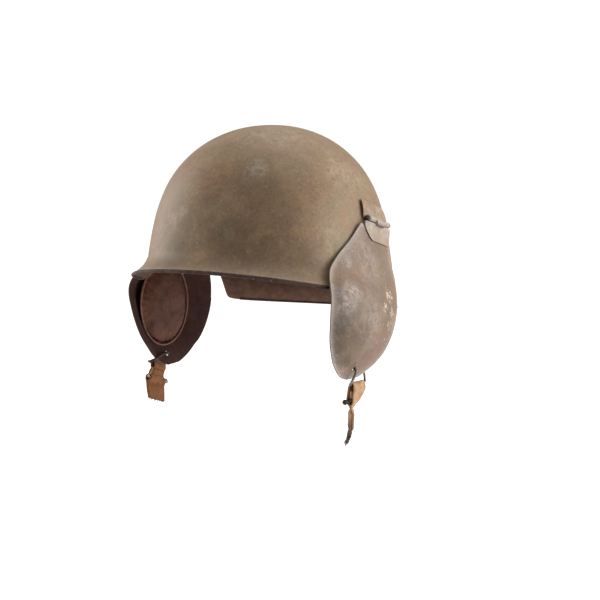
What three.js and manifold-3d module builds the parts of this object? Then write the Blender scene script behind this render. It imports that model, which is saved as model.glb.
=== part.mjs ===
// Flak helmet: a pressed steel shell with its sides cut away, two hinged steel ear flaps
// with round leather-faced pads, and a stub of webbing chin strap on a wire ring at each flap.
// Millimetres, +Z up, visor towards -Y, the wearer's left ear towards +X.
// Z = 0 is at brow level, and the origin is the middle of the head opening there.
import * as THREE from 'three';
import Module from 'manifold-3d';

const wasm = await Module();
wasm.setup();

// Sheet steel and the small gaps between fitted pieces
const STEEL_WALL = 1.2;
const FIT_GAP = 0.3;

// Dome of the shell
const CROWN_HEIGHT = 146;
const HALF_WIDTH = 107;
const FRONT_REACH = 127.4;
const REAR_REACH = 117.5;
const SECTION_POWER = 2.15;
const CROWN_DEPTH = 114.2;
const CROWN_SHARE = 0.83;
const CROWN_POWER = 2.743;
const FALL_POWER = 2.113;
const BASE_DEPTH = 125;
const SPREAD_DEPTH = 134;

// Rim line: a mean height with a front-to-back fall and a visor lift
const RIM_MEAN = -11.7;
const RIM_FALL = 24;
const VISOR_LIFT = 3.6;
const FLARE_HEIGHT = 18;
// Flare of the rim: bearing from the front in degrees, reach in mm
const FLARE_TABLE = [
  { bearing: 0, reach: 16.1 },
  { bearing: 45, reach: 13.1 },
  { bearing: 75, reach: 6 },
  { bearing: 95, reach: 4 },
  { bearing: 120, reach: 4.5 },
  { bearing: 150, reach: 8.5 },
  { bearing: 180, reach: 12 },
];

// Side cut-out: three straight edges in bearing and height, their corners rounded
const CUT_FRONT_BEARING = 59.5;
const CUT_FRONT_HEIGHT = -4;
const CUT_FRONT_SLOPE = 1.95;
const CUT_TOP_BEARING = 88;
const CUT_TOP_HEIGHT = 51;
const CUT_TOP_SLOPE = -0.42;
const CUT_REAR_BEARING = 124;
const CUT_REAR_HEIGHT = -28;
const CUT_REAR_SLOPE = -5;
const CUT_CORNER = 7;

// Shell mesh: columns by bearing, rows from crown to edge
const DOME_ROWS = 11;
const FLARE_ROWS = 3;
const EDGE_ROW_HEIGHT = 4;
const BEARING_BANDS = [
  { from: 0, to: 48, step: 8 },
  { from: 48, to: 57, step: 4.5 },
  { from: 57, to: 127, step: 3.5 },
  { from: 127, to: 180, step: 7.57 },
];

// Steel edge band folded over the rim
const BAND_LEG = 3.2;
const BAND_WALL = 0.6;
const VISOR_BAND_END = 57;
const NAPE_BAND_START = 130;

// Hinge: its axis falls towards the rear beside the ear
const HINGE_X = 104.6;
const HINGE_Y = 17.3;
const HINGE_Z = 56.7;
const HINGE_SLOPE = 13.1;
const BARREL_RADIUS = 2.5;
const PIN_RADIUS = 1.3;
const PIN_BORE = 1.6;
const HINGE_HALF = 17.5;
const KNUCKLE_SPLIT = 6.5;
const PIN_HEAD_RADIUS = 2.7;
const PIN_HEAD_LENGTH = 3.6;
const LEAF_WALL = 1;
const LEAF_FRONT = -22.5;
const LEAF_REAR = 22;
const LEAF_COLUMNS = 7;
const UPPER_LEAF_HEIGHT = 16.5;
const UPPER_LEAF_LIFT = 0.9;
const UPPER_LEAF_ROWS = 4;
const UPPER_LEAF_SEAT = 100.75;
const ROUND_STEPS = 14;
const LOWER_ROOT_DEPTH = 5;
const FLAP_TOP_DOWN = 7.6;
// Lower leaf: distance below the hinge axis, and where its front edge is at that distance
const LOWER_LEAF_TABLE = [
  { down: 3.6, front: -24.5 },
  { down: 8, front: -24 },
  { down: 12, front: -21 },
  { down: 15.5, front: -17.5 },
  { down: 18, front: -14.5 },
  { down: 19.6, front: -11 },
];

// Ear flap sections from the hinge down: the front and rear edge points,
// and how far the cup stands out from the line between them
const FLAP_TABLE = [
  { fx: 104.2, fy: -13, fz: 56.5, rx: 104.2, ry: 40, rz: 44, bulge: 0.4 },
  { fx: 103.6, fy: -31, fz: 42.5, rx: 105, ry: 36.5, rz: 32, bulge: 2 },
  { fx: 102.4, fy: -47.5, fz: 31, rx: 105.6, ry: 38.5, rz: 20, bulge: 4.6 },
  { fx: 102, fy: -59, fz: 21.5, rx: 106, ry: 43, rz: 10, bulge: 7 },
  { fx: 102.2, fy: -63.8, fz: 16, rx: 106.4, ry: 46, rz: 3, bulge: 9 },
  { fx: 104.8, fy: -68.6, fz: 9, rx: 106.6, ry: 48, rz: -5, bulge: 10.8 },
  { fx: 109, fy: -74, fz: 2, rx: 106.8, ry: 49.5, rz: -12, bulge: 12.3 },
  { fx: 111.3, fy: -76.2, fz: -6, rx: 107, ry: 50, rz: -19, bulge: 13.6 },
  { fx: 111.2, fy: -76.5, fz: -15, rx: 107, ry: 50, rz: -27, bulge: 14.6 },
  { fx: 109.7, fy: -75.2, fz: -25, rx: 107, ry: 48.5, rz: -34, bulge: 15 },
  { fx: 108.2, fy: -73.2, fz: -35, rx: 107, ry: 45.5, rz: -42, bulge: 15 },
  { fx: 106.4, fy: -70.5, fz: -45, rx: 106.8, ry: 41, rz: -50, bulge: 13.8 },
  { fx: 104.8, fy: -66.1, fz: -55, rx: 106.4, ry: 35, rz: -57.5, bulge: 11.4 },
  { fx: 102.8, fy: -59.7, fz: -65, rx: 106, ry: 27, rz: -65, bulge: 7.4 },
  { fx: 102, fy: -54, fz: -72, rx: 105.4, ry: 17, rz: -71, bulge: 3.8 },
  { fx: 101.3, fy: -47.2, fz: -78, rx: 104, ry: 8, rz: -76, bulge: 1.8 },
  { fx: 100.5, fy: -40, fz: -82, rx: 102.5, ry: -3, rz: -80.5, bulge: 0.9 },
  { fx: 100.2, fy: -31, fz: -84.5, rx: 101.5, ry: -12, rz: -83.5, bulge: 0.4 },
];
// Across the flap: the share of the way from front to rear edge, and the share of the bulge
const FLAP_PROFILE = [
  { across: 0, rise: 0 },
  { across: 0.022, rise: -0.05 },
  { across: 0.045, rise: 0.04 },
  { across: 0.088, rise: 0.3 },
  { across: 0.14, rise: 0.51 },
  { across: 0.21, rise: 0.71 },
  { across: 0.3, rise: 0.87 },
  { across: 0.41, rise: 0.97 },
  { across: 0.52, rise: 1 },
  { across: 0.63, rise: 0.96 },
  { across: 0.73, rise: 0.83 },
  { across: 0.82, rise: 0.62 },
  { across: 0.89, rise: 0.4 },
  { across: 0.95, rise: 0.19 },
  { across: 1, rise: 0 },
];
const FLAP_CLEARANCE = 1.4;
const FLAP_HOLE_Y = -27;
const FLAP_HOLE_Z = -74.2;
const FLAP_HOLE_RADIUS = 2.8;

// Ear pad: an upright round pad with a flat leather face, its back shaped to the cup
const PAD_Y = -26;
const PAD_Z = -25;
const PAD_HALF_LENGTH = 38.5;
const PAD_HALF_HEIGHT = 42;
const PAD_FACE_X = 106.5;
const PAD_FACE_CROWN = 1;
const PAD_DEPTH = 7;
const PAD_BACK_GAP = 0.8;
const PAD_EDGE_ROUND = 1.6;
const PAD_SPOKES = 28;
const PAD_RINGS = [0.45, 0.8, 0.955, 1];

// Wire rings through the flap holes, as the points their centre line passes
const WIRE_RADIUS = 1.1;
const WIRE_SIDES = 6;
const WIRE_STEPS = 40;
const LEFT_RING = [
  { x: 105.4, y: -27, z: -74.2 },
  { x: 108, y: -27.6, z: -75.8 },
  { x: 107, y: -29.4, z: -82 },
  { x: 103.4, y: -29.4, z: -88.2 },
  { x: 101.4, y: -26.4, z: -90.5 },
  { x: 101, y: -20, z: -90.7 },
  { x: 101, y: -8, z: -90.7 },
  { x: 101, y: -1.6, z: -90.6 },
  { x: 99.6, y: 2.8, z: -88 },
  { x: 98, y: 3.2, z: -79.5 },
  { x: 98.6, y: -2, z: -75 },
  { x: 100, y: -13, z: -73.4 },
  { x: 102.8, y: -24.6, z: -73.6 },
];
const RIGHT_RING = [
  { x: 105.4, y: -27, z: -74.2 },
  { x: 108.6, y: -26.8, z: -75.2 },
  { x: 109.4, y: -25.6, z: -82 },
  { x: 108.6, y: -26.6, z: -88.8 },
  { x: 108.4, y: -33, z: -87.37 },
  { x: 108.4, y: -42, z: -84.67 },
  { x: 108.4, y: -48, z: -82.9 },
  { x: 107, y: -51.8, z: -80.6 },
  { x: 103.4, y: -53.6, z: -79.8 },
  { x: 99.6, y: -52.4, z: -77.6 },
  { x: 97.8, y: -47.4, z: -74 },
  { x: 98.6, y: -37, z: -72 },
  { x: 101.6, y: -28.4, z: -73.4 },
];

// Webbing stubs: the loop round the ring's bottom wire, the loop round the crossbar, then the tail.
// Each row: distance below the wire, half thickness, share of the full width, sway in y
const STRAP_WIDTH = 25;
const STRAP_WIDTH_STEPS = 2;
const STRAP_TOP_RADIUS = 3.3;
const STRAP_EYE_RADIUS = 1.7;
const STRAP_EYE_DEPTH = 8;
const STRAP_EYE_TIP = 0.5;
const CROSSBAR_RADIUS = 1.9;
const LEFT_STRAP = {
  at: { x: 101, y: -13.8, z: -90.7 },
  span: 21,
  crossbarDown: 13,
  crossbarFront: -21,
  crossbarRear: 10,
  turn: 33,
  turnFrom: 8,
  turnTo: 23,
  tilt: 0,
  sections: [
    { down: 0, half: 3.3, share: 1, sway: 0 },
    { down: 4, half: 3.2, share: 1, sway: -0.6 },
    { down: 8.8, half: 3, share: 0.9, sway: -3.4 },
    { down: 10.8, half: 3.6, share: 0.8, sway: -5 },
    { down: 13, half: 3.8, share: 0.74, sway: -6.4 },
    { down: 15.2, half: 3.4, share: 0.74, sway: -7.4 },
    { down: 17.6, half: 1.2, share: 0.78, sway: -8.4 },
    { down: 20.6, half: 0.9, share: 0.9, sway: -9.2 },
    { down: 21.6, half: 2, share: 1, sway: -9.4 },
    { down: 36, half: 2, share: 1, sway: -11 },
    { down: 37, half: 1.1, share: 0.9, sway: -11.4 },
    { down: 44, half: 1, share: 0.6, sway: -13.4 },
    { down: 49.5, half: 0.8, share: 0.36, sway: -16.6 },
    { down: 55, half: 0.6, share: 0.12, sway: -21 },
  ],
};
const RIGHT_STRAP = {
  at: { x: 108.4, y: -37.5, z: -86.02 },
  span: 19,
  crossbarDown: 11,
  crossbarFront: -12,
  crossbarRear: 15.5,
  turn: -8,
  turnFrom: 3,
  turnTo: 12,
  tilt: -0.3,
  sections: [
    { down: 0, half: 3.3, share: 1, sway: 0 },
    { down: 3.5, half: 3.2, share: 1, sway: 0 },
    { down: 7, half: 3, share: 1.04, sway: -1 },
    { down: 8.9, half: 3.5, share: 1.1, sway: -1.8 },
    { down: 11, half: 3.8, share: 1.18, sway: -2.4 },
    { down: 13.1, half: 3.4, share: 1.24, sway: -3 },
    { down: 15.4, half: 1.5, share: 1.3, sway: -3.4 },
    { down: 24, half: 1.5, share: 1.32, sway: -4 },
    { down: 32.5, half: 1.5, share: 1.3, sway: -3.4 },
  ],
};

// Looks: colour, roughness and metalness of each material
const LOOKS = {
  shellPaint: { color: 0x6b5d45, roughness: 0.62, metalness: 0.25 },
  flapPaint: { color: 0x776a58, roughness: 0.6, metalness: 0.3 },
  edgeSteel: { color: 0x5a4b47, roughness: 0.45, metalness: 0.7 },
  wornSteel: { color: 0x8f8577, roughness: 0.42, metalness: 0.75 },
  darkSteel: { color: 0x3c3833, roughness: 0.4, metalness: 0.85 },
  wire: { color: 0xa8a49c, roughness: 0.3, metalness: 0.9 },
  leather: { color: 0x4a2f22, roughness: 0.65, metalness: 0 },
  webbing: { color: 0x7d5c33, roughness: 0.9, metalness: 0 },
  tornWebbing: { color: 0x83693f, roughness: 0.92, metalness: 0 },
};

const FULL_TURN = 360;
const { degToRad, lerp, clamp, smoothstep } = THREE.MathUtils;
const at3 = (x, y, z) => new THREE.Vector3(x, y, z);
const softMax = (a, b, corner) => (a + b + Math.hypot(a - b, corner)) / 2;
const softMin = (a, b, corner) => (a + b - Math.hypot(a - b, corner)) / 2;

// Straight-line reading of a table column
function lookUp(table, key, column, value) {
  const row = table.findIndex((entry) => entry[key] >= value);
  if (row === 0) return table[0][column];
  if (row < 0) return table[table.length - 1][column];
  const before = table[row - 1];
  const after = table[row];
  return lerp(before[column], after[column], (value - before[key]) / (after[key] - before[key]));
}

// ---- closed bodies from grids of points ----

// Turns the triangles outward when they enclose a negative volume
function facingOut(points, faces) {
  let volume = 0;
  for (const [a, b, c] of faces) {
    volume += points[a].dot(new THREE.Vector3().crossVectors(points[b], points[c]));
  }
  const order = volume < 0 ? faces.map(([a, b, c]) => [a, c, b]) : faces;
  const geometry = new THREE.BufferGeometry();
  geometry.setAttribute('position', new THREE.Float32BufferAttribute(points.flatMap((p) => p.toArray()), 3));
  geometry.setIndex(order.flat());
  geometry.computeVertexNormals();
  return geometry;
}

// Outward normal at each grid point, from its neighbours
function gridNormals(grid, ring, apex) {
  const columns = grid[0].length;
  return grid.map((row, r) => row.map((point, c) => {
    const above = r > 0 ? grid[r - 1][c] : apex ?? point;
    const below = r < grid.length - 1 ? grid[r + 1][c] : point;
    const before = ring ? row[(c + columns - 1) % columns] : row[Math.max(c - 1, 0)];
    const after = ring ? row[(c + 1) % columns] : row[Math.min(c + 1, columns - 1)];
    const down = new THREE.Vector3().subVectors(below, above);
    const along = new THREE.Vector3().subVectors(after, before);
    return down.cross(along).normalize();
  }));
}

// Two matching grids, outside and inside, closed along their edges into one body.
// A ring grid closes on itself across its columns; a pair of apex points closes its top.
function sheetBody(outside, inside, ring = false, apexes = null) {
  const rows = outside.length;
  const columns = outside[0].length;
  const points = [...outside.flat(), ...inside.flat()];
  const id = (side, r, c) => side * rows * columns + r * columns + (c % columns);
  const faces = [];
  const quad = (a, b, c, d) => faces.push([a, b, c], [a, c, d]);
  const spans = ring ? columns : columns - 1;
  for (let c = 0; c < spans; c += 1) {
    for (let r = 0; r < rows - 1; r += 1) {
      quad(id(0, r, c), id(0, r + 1, c), id(0, r + 1, c + 1), id(0, r, c + 1));
      quad(id(1, r, c), id(1, r, c + 1), id(1, r + 1, c + 1), id(1, r + 1, c));
    }
    quad(id(0, rows - 1, c), id(1, rows - 1, c), id(1, rows - 1, c + 1), id(0, rows - 1, c + 1));
    if (apexes) {
      const top = points.length;
      faces.push([top, id(0, 0, c), id(0, 0, c + 1)], [top + 1, id(1, 0, c + 1), id(1, 0, c)]);
    } else {
      quad(id(0, 0, c), id(0, 0, c + 1), id(1, 0, c + 1), id(1, 0, c));
    }
  }
  if (apexes) points.push(...apexes);
  if (!ring) {
    for (let r = 0; r < rows - 1; r += 1) {
      const last = columns - 1;
      quad(id(0, r, 0), id(1, r, 0), id(1, r + 1, 0), id(0, r + 1, 0));
      quad(id(0, r, last), id(0, r + 1, last), id(1, r + 1, last), id(1, r, last));
    }
  }
  return facingOut(points, faces);
}

// A row of matching section loops: capped with the flat contour at both ends,
// or closed on itself when there is no contour
function sectionBody(sections, contour = null) {
  const count = sections.length;
  const sides = sections[0].length;
  const id = (s, k) => (s % count) * sides + (k % sides);
  const faces = [];
  for (let s = 0; s < (contour ? count - 1 : count); s += 1) {
    for (let k = 0; k < sides; k += 1) {
      faces.push([id(s, k), id(s + 1, k), id(s + 1, k + 1)], [id(s, k), id(s + 1, k + 1), id(s, k + 1)]);
    }
  }
  if (contour) {
    for (const [a, b, c] of THREE.ShapeUtils.triangulateShape(contour, [])) {
      faces.push([id(0, a), id(0, b), id(0, c)]);
      faces.push([id(count - 1, a), id(count - 1, c), id(count - 1, b)]);
    }
  }
  return facingOut(sections.flat(), faces);
}

// The same body on the other side of the helmet
function mirrored(geometry) {
  const points = [];
  const position = geometry.getAttribute('position');
  for (let i = 0; i < position.count; i += 1) {
    points.push(at3(-position.getX(i), position.getY(i), position.getZ(i)));
  }
  const index = Array.from(geometry.index.array);
  const faces = [];
  for (let i = 0; i < index.length; i += 3) faces.push([index[i], index[i + 2], index[i + 1]]);
  return facingOut(points, faces);
}

function toSolid(geometry) {
  const vertProperties = Float32Array.from(geometry.getAttribute('position').array);
  const triVerts = Uint32Array.from(geometry.index.array);
  return new wasm.Manifold(new wasm.Mesh({ numProp: 3, vertProperties, triVerts }));
}

function toGeometry(solid) {
  const mesh = solid.getMesh();
  const points = [];
  for (let i = 0; i < mesh.vertProperties.length; i += mesh.numProp) {
    points.push(at3(...mesh.vertProperties.slice(i, i + 3)));
  }
  const faces = [];
  for (let i = 0; i < mesh.triVerts.length; i += 3) faces.push([...mesh.triVerts.slice(i, i + 3)]);
  return facingOut(points, faces);
}

// ---- shell ----

function rimHeight(bearing) {
  const angle = degToRad(bearing);
  return RIM_MEAN + RIM_FALL * Math.cos(angle) + VISOR_LIFT * Math.cos(2 * angle);
}

function edgeHeight(bearing) {
  const side = Math.abs(bearing);
  const front = CUT_FRONT_HEIGHT + (side - CUT_FRONT_BEARING) * CUT_FRONT_SLOPE;
  const top = CUT_TOP_HEIGHT + (side - CUT_TOP_BEARING) * CUT_TOP_SLOPE;
  const rear = CUT_REAR_HEIGHT + (side - CUT_REAR_BEARING) * CUT_REAR_SLOPE;
  const cut = softMin(softMin(front, top, CUT_CORNER), rear, CUT_CORNER);
  return softMax(rimHeight(bearing), cut, CUT_CORNER);
}

function domeScale(height) {
  const drop = CROWN_HEIGHT - height;
  const rest = clamp(1 - drop / CROWN_DEPTH, 0, 1);
  const round = (1 - rest ** CROWN_POWER) ** (1 / FALL_POWER);
  return CROWN_SHARE * round + (1 - CROWN_SHARE) * (Math.min(drop, SPREAD_DEPTH) / BASE_DEPTH);
}

// Distance of the outer face from the middle axis
function domeRadius(bearing, height) {
  const angle = degToRad(bearing);
  const reach = Math.cos(angle) > 0 ? FRONT_REACH : REAR_REACH;
  const across = Math.abs(Math.sin(angle) / HALF_WIDTH) ** SECTION_POWER;
  const along = Math.abs(Math.cos(angle) / reach) ** SECTION_POWER;
  const section = (across + along) ** (-1 / SECTION_POWER);
  const flare = clamp((rimHeight(bearing) + FLARE_HEIGHT - height) / FLARE_HEIGHT, 0, 1);
  const reachOut = lookUp(FLARE_TABLE, 'bearing', 'reach', Math.abs(bearing));
  return section * domeScale(height) + reachOut * flare * flare;
}

function shellPoint(bearing, height) {
  const radius = domeRadius(bearing, height);
  const angle = degToRad(bearing);
  return at3(radius * Math.sin(angle), -radius * Math.cos(angle), height);
}

// Outer face of the shell beside a point of the left ear: its x at that y and height
function shellSide(y, height) {
  let low = 20;
  let high = 160;
  for (let i = 0; i < 24; i += 1) {
    const middle = (low + high) / 2;
    const level = Math.max(height, rimHeight(middle));
    if (shellPoint(middle, level).y < y) low = middle;
    else high = middle;
  }
  const below = Math.max(0, rimHeight(low) - height);
  return shellPoint(low, Math.max(height, rimHeight(low))).x - below;
}

function shellBearings() {
  const half = [];
  for (const { from, to, step } of BEARING_BANDS) {
    for (let bearing = from; bearing < to - step / 2; bearing += step) half.push(bearing);
  }
  const rearmost = BEARING_BANDS[BEARING_BANDS.length - 1].to;
  return [...half, rearmost, ...half.slice(1).reverse().map((bearing) => -bearing)];
}

// Heights down one column: even arcs over the dome, then the flare, then the edge row
function columnHeights(bearing) {
  const edge = edgeHeight(bearing);
  const span = CROWN_HEIGHT - (edge + FLARE_HEIGHT);
  const heights = [];
  for (let i = 1; i <= DOME_ROWS; i += 1) {
    heights.push(CROWN_HEIGHT - span * (1 - Math.cos((i / DOME_ROWS) * (Math.PI / 2))));
  }
  for (let i = 1; i <= FLARE_ROWS; i += 1) {
    heights.push(edge + lerp(FLARE_HEIGHT, EDGE_ROW_HEIGHT, i / FLARE_ROWS));
  }
  heights.push(edge);
  return heights;
}

function buildShell() {
  const bearings = shellBearings();
  const columns = bearings.map((bearing) => columnHeights(bearing).map((height) => shellPoint(bearing, height)));
  const outside = columns[0].map((_, r) => columns.map((column) => column[r]));
  const crown = at3(0, 0, CROWN_HEIGHT);
  const normals = gridNormals(outside, true, crown);
  const inside = outside.map((row, r) => row.map((p, c) => p.clone().addScaledVector(normals[r][c], -STEEL_WALL)));
  const underCrown = at3(0, 0, CROWN_HEIGHT - STEEL_WALL);
  return { geometry: sheetBody(outside, inside, true, [crown, underCrown]), bearings, outside, inside };
}

// Folded band over the rim between two bearings: a U in section, open upwards
function buildBand(shell, keep) {
  const slot = STEEL_WALL / 2 + FIT_GAP;
  const half = slot + BAND_WALL;
  const deep = FIT_GAP;
  const bottom = FIT_GAP + BAND_WALL;
  const contour = [
    [half, -BAND_LEG], [half, bottom - 0.4], [half - 0.4, bottom],
    [0.4 - half, bottom], [-half, bottom - 0.4], [-half, -BAND_LEG],
    [-slot, -BAND_LEG], [-slot, deep], [slot, deep], [slot, -BAND_LEG],
  ].map(([out, down]) => new THREE.Vector2(out, down));
  const last = shell.outside.length - 1;
  const picked = shell.bearings.map((bearing, c) => ({ bearing, c })).filter(({ bearing }) => keep(bearing));
  const turn = keep(0) ? FULL_TURN / 2 : 0;
  const order = ({ bearing }) => (bearing + turn + FULL_TURN) % FULL_TURN;
  picked.sort((a, b) => order(a) - order(b));
  const sections = picked.map(({ c }) => {
    const outer = shell.outside[last][c];
    const inner = shell.inside[last][c];
    const middle = outer.clone().lerp(inner, 0.5);
    const above = shell.outside[last - 1][c].clone().lerp(shell.inside[last - 1][c], 0.5);
    const down = new THREE.Vector3().subVectors(middle, above).normalize();
    const out = new THREE.Vector3().subVectors(outer, inner);
    out.addScaledVector(down, -out.dot(down)).normalize();
    return contour.map((p) => middle.clone().addScaledVector(out, p.x).addScaledVector(down, p.y));
  });
  return sectionBody(sections, contour);
}

// ---- ear flap ----

// A point of the flap's outer face: row is the place down the table, across the place along it
function flapPoint(row, across) {
  const first = Math.min(Math.floor(row), FLAP_TABLE.length - 2);
  const part = row - first;
  const read = (column) => lerp(FLAP_TABLE[first][column], FLAP_TABLE[first + 1][column], part);
  const y = lerp(read('fy'), read('ry'), across);
  const z = lerp(read('fz'), read('rz'), across);
  const chord = lerp(read('fx'), read('rx'), across);
  const cup = chord + read('bulge') * lookUp(FLAP_PROFILE, 'across', 'rise', across);
  const follow = shellSide(y, z) + STEEL_WALL + FLAP_CLEARANCE;
  return at3(softMax(cup, follow, 0.8), y, z);
}

// The outer face beside a given y and height, found along the rows and then across
function flapSide(y, z) {
  let low = 0;
  let high = FLAP_TABLE.length - 1;
  let across = 0;
  for (let i = 0; i < 24; i += 1) {
    const row = (low + high) / 2;
    const front = flapPoint(row, 0);
    const rear = flapPoint(row, 1);
    across = clamp((y - front.y) / (rear.y - front.y), 0, 1);
    if (lerp(front.z, rear.z, across) > z) low = row;
    else high = row;
  }
  return flapPoint((low + high) / 2, across).x;
}

function buildFlap() {
  const outside = FLAP_TABLE.map((_, row) => FLAP_PROFILE.map(({ across }) => flapPoint(row, across)));
  const normals = gridNormals(outside, false, null);
  const inside = outside.map((row, r) => row.map((p, c) => p.clone().addScaledVector(normals[r][c], -STEEL_WALL)));
  const drill = new THREE.CylinderGeometry(FLAP_HOLE_RADIUS, FLAP_HOLE_RADIUS, 30, ROUND_STEPS);
  drill.rotateZ(Math.PI / 2);
  drill.translate(flapSide(FLAP_HOLE_Y, FLAP_HOLE_Z), FLAP_HOLE_Y, FLAP_HOLE_Z);
  return toGeometry(toSolid(sheetBody(outside, inside)).subtract(plainSolid(drill)));
}

// ---- hinge ----

const slopeCos = Math.cos(degToRad(HINGE_SLOPE));
const slopeSin = Math.sin(degToRad(HINGE_SLOPE));

// Hinge coordinates: along the pin to the rear, and down across it
function hingePoint(x, along, down) {
  const y = HINGE_Y + along * slopeCos - down * slopeSin;
  return at3(x, y, HINGE_Z - along * slopeSin - down * slopeCos);
}

// Library shapes come with split seams, which are joined before a cut
function plainSolid(geometry) {
  const position = geometry.getAttribute('position');
  const points = [];
  const known = new Map();
  const place = [];
  for (let i = 0; i < position.count; i += 1) {
    const p = at3(position.getX(i), position.getY(i), position.getZ(i));
    const key = p.toArray().map((value) => value.toFixed(4)).join();
    if (!known.has(key)) {
      known.set(key, points.length);
      points.push(p);
    }
    place.push(known.get(key));
  }
  const index = geometry.index ? Array.from(geometry.index.array) : place.map((_, i) => i);
  const faces = [];
  for (let i = 0; i < index.length; i += 3) {
    const face = [place[index[i]], place[index[i + 1]], place[index[i + 2]]];
    if (new Set(face).size === 3) faces.push(face);
  }
  return toSolid(facingOut(points, faces));
}

// Lays a shape made along +Y with its middle at the origin onto the hinge axis
function onAxis(geometry, along) {
  geometry.rotateX(-degToRad(HINGE_SLOPE));
  const centre = hingePoint(HINGE_X, along, 0);
  return geometry.translate(centre.x, centre.y, centre.z);
}

function buildKnuckle(from, to, side, rootDepth) {
  const length = to - from;
  const middle = (from + to) / 2;
  const barrel = new THREE.CylinderGeometry(BARREL_RADIUS, BARREL_RADIUS, length, ROUND_STEPS);
  const root = new THREE.BoxGeometry(BARREL_RADIUS + 1, length, rootDepth);
  root.translate(side * (BARREL_RADIUS + 1) * 0.5, 0, side * -rootDepth * 0.5);
  const bore = new THREE.CylinderGeometry(PIN_BORE, PIN_BORE, length + 2, ROUND_STEPS);
  const solid = plainSolid(onAxis(barrel, middle)).add(plainSolid(onAxis(root, middle)));
  return { solid, bore: plainSolid(onAxis(bore, middle)) };
}

function leafSheet(rows, xOf) {
  const inside = rows.map(({ down, front }) => {
    const row = [];
    for (let c = 0; c < LEAF_COLUMNS; c += 1) {
      const along = lerp(front, LEAF_REAR, c / (LEAF_COLUMNS - 1));
      row.push(hingePoint(xOf(along, down), along, down));
    }
    return row;
  });
  const outside = inside.map((row) => row.map((p) => p.clone().add(at3(LEAF_WALL, 0, 0))));
  return toSolid(sheetBody(outside, inside));
}

function buildUpperLeaf() {
  const rows = [];
  for (let r = 0; r <= UPPER_LEAF_ROWS; r += 1) {
    rows.push({ down: lerp(-UPPER_LEAF_HEIGHT, 0.2, r / UPPER_LEAF_ROWS), front: LEAF_FRONT });
  }
  const leaf = leafSheet(rows, (along, down) => {
    const p = hingePoint(0, along, down);
    const share = clamp(-down / UPPER_LEAF_HEIGHT, 0, 1);
    const onShell = shellSide(p.y, p.z) + FIT_GAP + UPPER_LEAF_LIFT * (along / LEAF_FRONT) ** 2;
    return lerp(UPPER_LEAF_SEAT, Math.min(onShell, UPPER_LEAF_SEAT), share);
  });
  const gap = FIT_GAP / 2;
  const front = buildKnuckle(-HINGE_HALF, -KNUCKLE_SPLIT - gap, -1, BARREL_RADIUS);
  const rear = buildKnuckle(KNUCKLE_SPLIT + gap, HINGE_HALF, -1, BARREL_RADIUS);
  const joined = leaf.add(front.solid).add(rear.solid);
  return toGeometry(joined.subtract(front.bore).subtract(rear.bore));
}

function buildLowerLeaf() {
  const leaf = leafSheet(LOWER_LEAF_TABLE, (along, down) => {
    const p = hingePoint(0, along, down);
    const top = hingePoint(0, along, FLAP_TOP_DOWN);
    const over = down < FLAP_TOP_DOWN ? flapSide(top.y, top.z) : flapSide(p.y, p.z);
    return over + FIT_GAP;
  });
  const gap = FIT_GAP / 2;
  const knuckle = buildKnuckle(-KNUCKLE_SPLIT + gap, KNUCKLE_SPLIT - gap, 1, LOWER_ROOT_DEPTH);
  return toGeometry(leaf.add(knuckle.solid).subtract(knuckle.bore));
}

function buildPin() {
  const reach = HINGE_HALF + FIT_GAP;
  const end = reach + PIN_HEAD_LENGTH;
  const profile = [
    [0, -end], [PIN_HEAD_RADIUS * 0.7, -end + 0.2], [PIN_HEAD_RADIUS, -end + 1.1],
    [PIN_HEAD_RADIUS, -reach], [PIN_RADIUS, -reach],
    [PIN_RADIUS, reach], [PIN_HEAD_RADIUS, reach],
    [PIN_HEAD_RADIUS, end - 1.1], [PIN_HEAD_RADIUS * 0.7, end - 0.2], [0, end],
  ].map(([radius, along]) => new THREE.Vector2(radius, along));
  return toGeometry(plainSolid(onAxis(new THREE.LatheGeometry(profile, ROUND_STEPS), 0)));
}

// ---- ear pad ----

function buildPad() {
  const face = [];
  const back = [];
  for (const share of PAD_RINGS) {
    const faceRow = [];
    const backRow = [];
    for (let k = 0; k < PAD_SPOKES; k += 1) {
      const angle = (k / PAD_SPOKES) * Math.PI * 2;
      const y = PAD_Y + PAD_HALF_LENGTH * share * Math.cos(angle);
      const z = PAD_Z + PAD_HALF_HEIGHT * share * Math.sin(angle);
      const cup = flapSide(y, z) - STEEL_WALL - PAD_BACK_GAP;
      const round = PAD_EDGE_ROUND * smoothstep(share, 0.9, 1);
      faceRow.push(at3(PAD_FACE_X - PAD_FACE_CROWN * (1 - share * share) + round, y, z));
      backRow.push(at3(Math.min(PAD_FACE_X + PAD_DEPTH, cup), y, z));
    }
    face.push(faceRow);
    back.push(backRow);
  }
  const faceMiddle = at3(PAD_FACE_X - PAD_FACE_CROWN, PAD_Y, PAD_Z);
  const backMiddle = at3(PAD_FACE_X + PAD_DEPTH, PAD_Y, PAD_Z);
  return sheetBody(back, face, true, [backMiddle, faceMiddle]);
}

// ---- rings, straps and crossbars ----

function buildRing(table) {
  const curve = new THREE.CatmullRomCurve3(table.map(({ x, y, z }) => at3(x, y, z)), true, 'centripetal');
  const frames = curve.computeFrenetFrames(WIRE_STEPS, true);
  const sections = [];
  for (let s = 0; s < WIRE_STEPS; s += 1) {
    const centre = curve.getPointAt(s / WIRE_STEPS);
    const loop = [];
    for (let k = 0; k < WIRE_SIDES; k += 1) {
      const angle = (k / WIRE_SIDES) * Math.PI * 2;
      const point = centre.clone().addScaledVector(frames.normals[s], WIRE_RADIUS * Math.cos(angle));
      loop.push(point.addScaledVector(frames.binormals[s], WIRE_RADIUS * Math.sin(angle)));
    }
    sections.push(loop);
  }
  return sectionBody(sections);
}

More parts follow.
